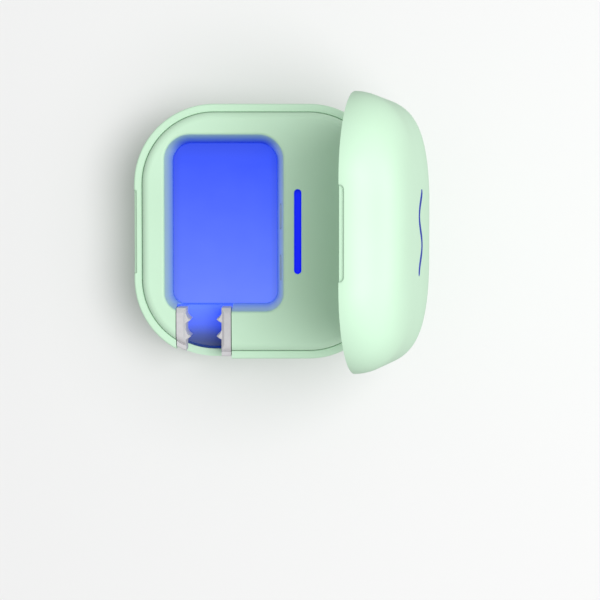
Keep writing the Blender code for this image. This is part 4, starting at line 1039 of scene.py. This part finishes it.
def chamberOutline(grown):
    inner = chamber["draft"] - grown
    radii = [chamber[f"{side}Corner"] - inner for side in ("bottom", "top", "top", "bottom")]
    return roundedOutline(chamberLeft + inner, chamberRight - inner,
                          chamberBottom + inner, chamberTop - inner, radii, 14)


def barOutline(grown):
    reach = tray["barWidth"] / 2 + grown
    long = tray["barLength"] / 2 + grown
    return roundedOutline(barCentre.x - reach, barCentre.x + reach, -long, long,
                          [reach * 0.98] * 4, 10)


def makeTray():
    face = [(podOutline(trayHalf - tray["height"] * (1 - s)), rimPlane + tray["height"] * c)
            for s, c in quarterRound(12)]
    under = panelTop - tray["panel"]
    bottom = under - tray["skirt"]
    inner = trayHalf - tray["skirtWall"]
    skirt = [(podOutline(trayHalf), bottom), (podOutline(inner), bottom), (podOutline(inner), under)]
    body = loft("innerTray", face + skirt)
    walls = tray["chamberWall"]
    ledgeTop = -windowHigh.y - pod["seam"]
    ledgeBottom = floorLevel + tray["ledge"]
    joined = under + tray["overlap"]
    tub = loft("tub", [(chamberOutline(walls), ledgeBottom),
                       (chamberOutline(chamber["draft"] + walls), joined)])
    left = neckMiddle - neck["width"] / 2 - walls
    right = neckMiddle + neck["width"] / 2 + walls
    outline = [(left, -podHalf), (right, -podHalf), (right, chamberBottom), (left, chamberBottom)]
    trough = loft("trough", [(outline, slotFloor - walls), (outline, joined)])
    trim = podOutline(trayHalf - tray["skirtWall"] / 3)
    shape(trough, [loft("trim", [(trim, 0), (trim, 2 * panelTop)])], "INTERSECT")
    shape(body, [tub, trough], "UNION")
    lipRound = chamber["edgeRound"]
    lip = [(chamberOutline(chamber["draft"] + lipRound * (1 - c)), panelTop - lipRound * (1 - s))
           for s, c in quarterRound(6)]
    cavity = loft("cavity", [(chamberOutline(0), ledgeTop), (chamberOutline(0), windowTop)] + lip +
                  [(lip[-1][0], panelTop + tray["height"])])
    inset = chamber["draft"] + tray["ledgeReach"]
    opening = roundedOutline(chamberLeft + inset, chamberRight - inset,
                             chamberBottom + inset, chamberTop - inset, [2 * mm] * 4, 6)
    slot = barOutline(tray["barGap"])
    flared = barOutline(tray["barGap"] + tray["barFlare"])
    barSlot = loft("barSlot", [(slot, under - 1 * mm), (slot, panelTop - 0.12 * mm),
                               (flared, panelTop + 0.03 * mm), (flared, panelTop + 1 * mm)])
    ledgeOpening = loft("ledgeOpening", [(opening, ledgeBottom - 1 * mm), (opening, ledgeTop + 0.5 * mm)])
    lensSlots = [lensTool(node) for node in lensNodes]
    shape(body, [cavity, ledgeOpening, neckSlotTool(), barSlot] + lensSlots)
    return settle(body, toWorld, "base", ["inner_tray"], lampLitPlastic("mouldedMintAbsLampLit"))


def lensTool(node):
    # the thin slot in the chamber's wall in front of a side lamp
    low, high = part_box(node)
    centre = (low + high) / 2
    long = (high.z - low.z) / 2 + pod["seam"]
    tall = (high.y - low.y) / 2 + pod["seam"]
    outline = roundedOutline(-long, long, -tall, tall, [0.8 * mm] * 4, 8)
    across = Matrix(((0, 0, 1, 0), (1, 0, 0, centre.z), (0, 1, 0, -centre.y), (0, 0, 0, 1)))
    return loft(f"slot_{node}", [(outline, centre.x - 3 * mm), (outline, centre.x + 5 * mm)], turn=across)


def makeWindow():
    edge = 0.2 * mm
    gap = -0.2 * mm
    low = -windowHigh.y
    pane = loft("chamberWindow", [(chamberOutline(gap), low), (chamberOutline(gap), windowTop - edge),
                                  (chamberOutline(gap - edge * 0.3), windowTop - edge * 0.3),
                                  (chamberOutline(gap - edge), windowTop)])
    return settle(pane, toWorld, "base", ["uv_window"])


def makeStatusBar():
    low = -barHigh.y
    flangeTop = panelTop - tray["panel"] - pod["seam"]
    face = [(barOutline(-0.25 * mm * (1 - c)), panelTop - 0.1 * mm - 0.25 * mm * (1 - s))
            for s, c in quarterRound(4)]
    lens = loft("statusBar", [(barOutline(0), low)] + face)
    flange = loft("flange", [(barOutline(0.8 * mm), flangeTop - 1.4 * mm), (barOutline(0.8 * mm), flangeTop)])
    shape(lens, [flange], "UNION")
    return settle(lens, toWorld, "base", ["status_bar"])


makeTray()
makeWindow()
makeStatusBar()
print("tray made")


# ---- grip pads


gripPad = {
    "thickness": 2.6 * mm,
    "inset": 0.7 * mm,  # inside the pod's outline
    "reach": 0.9 * mm,  # into the chamber
    "endChamfer": 1.5 * mm,  # towards the chamber
    "sideChamfer": 0.8 * mm,  # along the edge that faces the other pad
    "chamferDrop": 1.0 * mm,
    "ribReach": 1.3 * mm,
    "ribBase": 2.4 * mm,
    "ribDrop": 0.7 * mm,  # below the pad's face
    "ribRoot": 0.5 * mm,  # sunk into the pad
    "ribs": (2.3 * mm, 6.9 * mm),  # tips below the chamber's bottom side
}


def gripTrim():
    # follows the rim, the seam's groove and the tray's face
    outer = podHalf - gripPad["inset"]
    edge = 0.5 * mm
    rim = [(podOutline(outer - edge * (1 - c)), rimLevel - edge * (1 - s)) for s, c in quarterRound(4)]
    groove = [(podOutline(trayHalf + 0.35 * mm), rimLevel),
              (podOutline(trayHalf + 0.25 * mm), rimLevel - 0.35 * mm),
              (podOutline(trayHalf + 0.02 * mm), rimLevel - 0.35 * mm)]
    face = [(podOutline(trayHalf - tray["height"] * (1 - c)), rimPlane + tray["height"] * s)
            for s, c in quarterRound(10)]
    return loft("gripTrim", [(podOutline(outer), 0), *rim, *groove, *face])


def makeGripPad(side):
    inward = 1 if side == "left" else -1
    outer = neckMiddle - inward * (neck["width"] / 2 - 0.2 * mm)
    inner = outer + inward * gripPad["thickness"]
    end = chamberBottom + gripPad["reach"]
    low = slotFloor + pod["seam"]
    drop = gripPad["chamferDrop"]
    sections = []
    # how much of the chamfers is cut at each level
    for share, level in ((0.0, low), (0.0, panelTop - drop), (0.1, panelTop - 0.8 * drop),
                         (0.85, panelTop - 0.08 * drop), (1.0, panelTop)):
        endNow = end - gripPad["endChamfer"] * share
        innerNow = inner - inward * gripPad["sideChamfer"] * share
        outline = [(outer, -podHalf), (innerNow, -podHalf), (innerNow, endNow), (outer, endNow)]
        sections.append((outline, level))
    pad = loft(f"{side}GripPad", sections)
    shape(pad, [gripTrim()], "INTERSECT")
    top = panelTop - gripPad["ribDrop"]
    base, root = gripPad["ribBase"], gripPad["ribRoot"]
    profile = [(-inward * root, base * 0.65), (0, base * 0.65)]
    profile += [(inward * gripPad["ribReach"] * bulge, base * 0.65 * (1 - run))
                for run, bulge in ((0.35, 0.22), (0.65, 0.52), (0.9, 0.9))]
    profile += [(inward * gripPad["ribReach"], 0), (inward * gripPad["ribReach"] * 0.55, -base * 0.22),
                (0, -base * 0.35), (-inward * root, -base * 0.35)]
    crown = [(x * 0.6 if x * inward > 0 else x, y) for x, y in profile]
    rib = loft("rib", [(profile, 0), (profile, top - low - 0.6 * mm), (crown, top - low - 0.2 * mm)])
    places = [(inner, chamberBottom - drop, low + 0.2 * mm) for drop in gripPad["ribs"]]
    ribs = repeated("ribs", rib, places, finishes["grip"])
    shape(pad, [ribs], "UNION")
    return settle(pad, toWorld, "base", [f"{side}_grip_pad"])


makeGripPad("left")
makeGripPad("right")
print("grip pads made")


# ---- wall, lights and camera


studio = {
    "wall": "#eaeaea",
    "wallHalf": 2.5,
    "wallPlace": 0.4 * mm,  # behind the pad
    "sky": 0.52,
    "key": 8.2,  # watts
    "keyPlace": (0.38, -1.0, 0.0),
    "keySize": 0.8,
    "side": 2.8,  # lights the open lid's front
    "sidePlace": (1.3, -0.03, 0.0),
    "sideSize": 0.6,
}


def makeWall():
    # a white wall that shows and takes shadows in front, and neither blocks light nor shows from behind
    half = studio["wallHalf"]
    mesh = bpy.data.meshes.new("wall")
    corners = [(-half, -half), (half, -half), (half, half), (-half, half)]
    mesh.from_pydata([(x, studio["wallPlace"], z) for x, z in corners], [], [(0, 1, 2, 3)])
    wall = newObject("wall", mesh)
    material, tree, shader = newMaterial("paintedWall")
    setShader(shader, Base_Color=linear(studio["wall"]), Roughness=0.9)
    clear = addNode(tree, "ShaderNodeBsdfTransparent")
    behind = addNode(tree, "ShaderNodeNewGeometry").outputs["Backfacing"]
    mix = addNode(tree, "ShaderNodeMixShader", {0: behind, 1: shader, 2: clear})
    tree.links.new(mix.outputs[0], tree.nodes["Material Output"].inputs["Surface"])
    mesh.materials.append(material)
    wall.visible_diffuse = wall.visible_glossy = wall.visible_transmission = wall.visible_shadow = False


def softLight(name, place, size, power):
    light = bpy.data.lights.new(name, "AREA")
    light.shape = "DISK"
    light.size = size
    light.energy = power
    obj = bpy.data.objects.new(name, light)
    bpy.context.scene.collection.objects.link(obj)
    obj.location = place
    obj.rotation_euler = (Vector((0, -0.02, 0)) - obj.location).to_track_quat("-Z", "Y").to_euler()


camera = {
    "lens": 104.6,
    "distance": 479 * mm,  # from the parting plane
    "right": 5.05 * mm,
    "up": 3.35 * mm,
    "aimRight": 10.54 * mm,
    "aimUp": -18.8 * mm,
}


def makeCamera():
    data = bpy.data.cameras.new("camera")
    data.lens = camera["lens"]
    data.sensor_width = 36.0
    data.clip_start = 0.01
    obj = bpy.data.objects.new("camera", data)
    bpy.context.scene.collection.objects.link(obj)
    obj.location = (camera["right"], -rimPlane - camera["distance"], camera["up"])
    aim = Vector((camera["aimRight"], -rimPlane, camera["aimUp"]))
    obj.rotation_euler = (aim - obj.location).to_track_quat("-Z", "Y").to_euler()
    bpy.context.scene.camera = obj


def makeSky():
    world = bpy.data.worlds.new("sky")
    bpy.context.scene.world = world
    world.use_nodes = True
    background = world.node_tree.nodes["Background"]
    background.inputs["Color"].default_value = (1.0, 1.0, 1.0, 1.0)
    background.inputs["Strength"].default_value = studio["sky"]


makeWall()
for name in ("key", "side"):
    softLight(name, studio[f"{name}Place"], studio[f"{name}Size"], studio[name])
makeCamera()
makeSky()
scene = bpy.context.scene
scene.view_settings.view_transform = "Standard"
scene.view_settings.look = "None"
print("stage set")
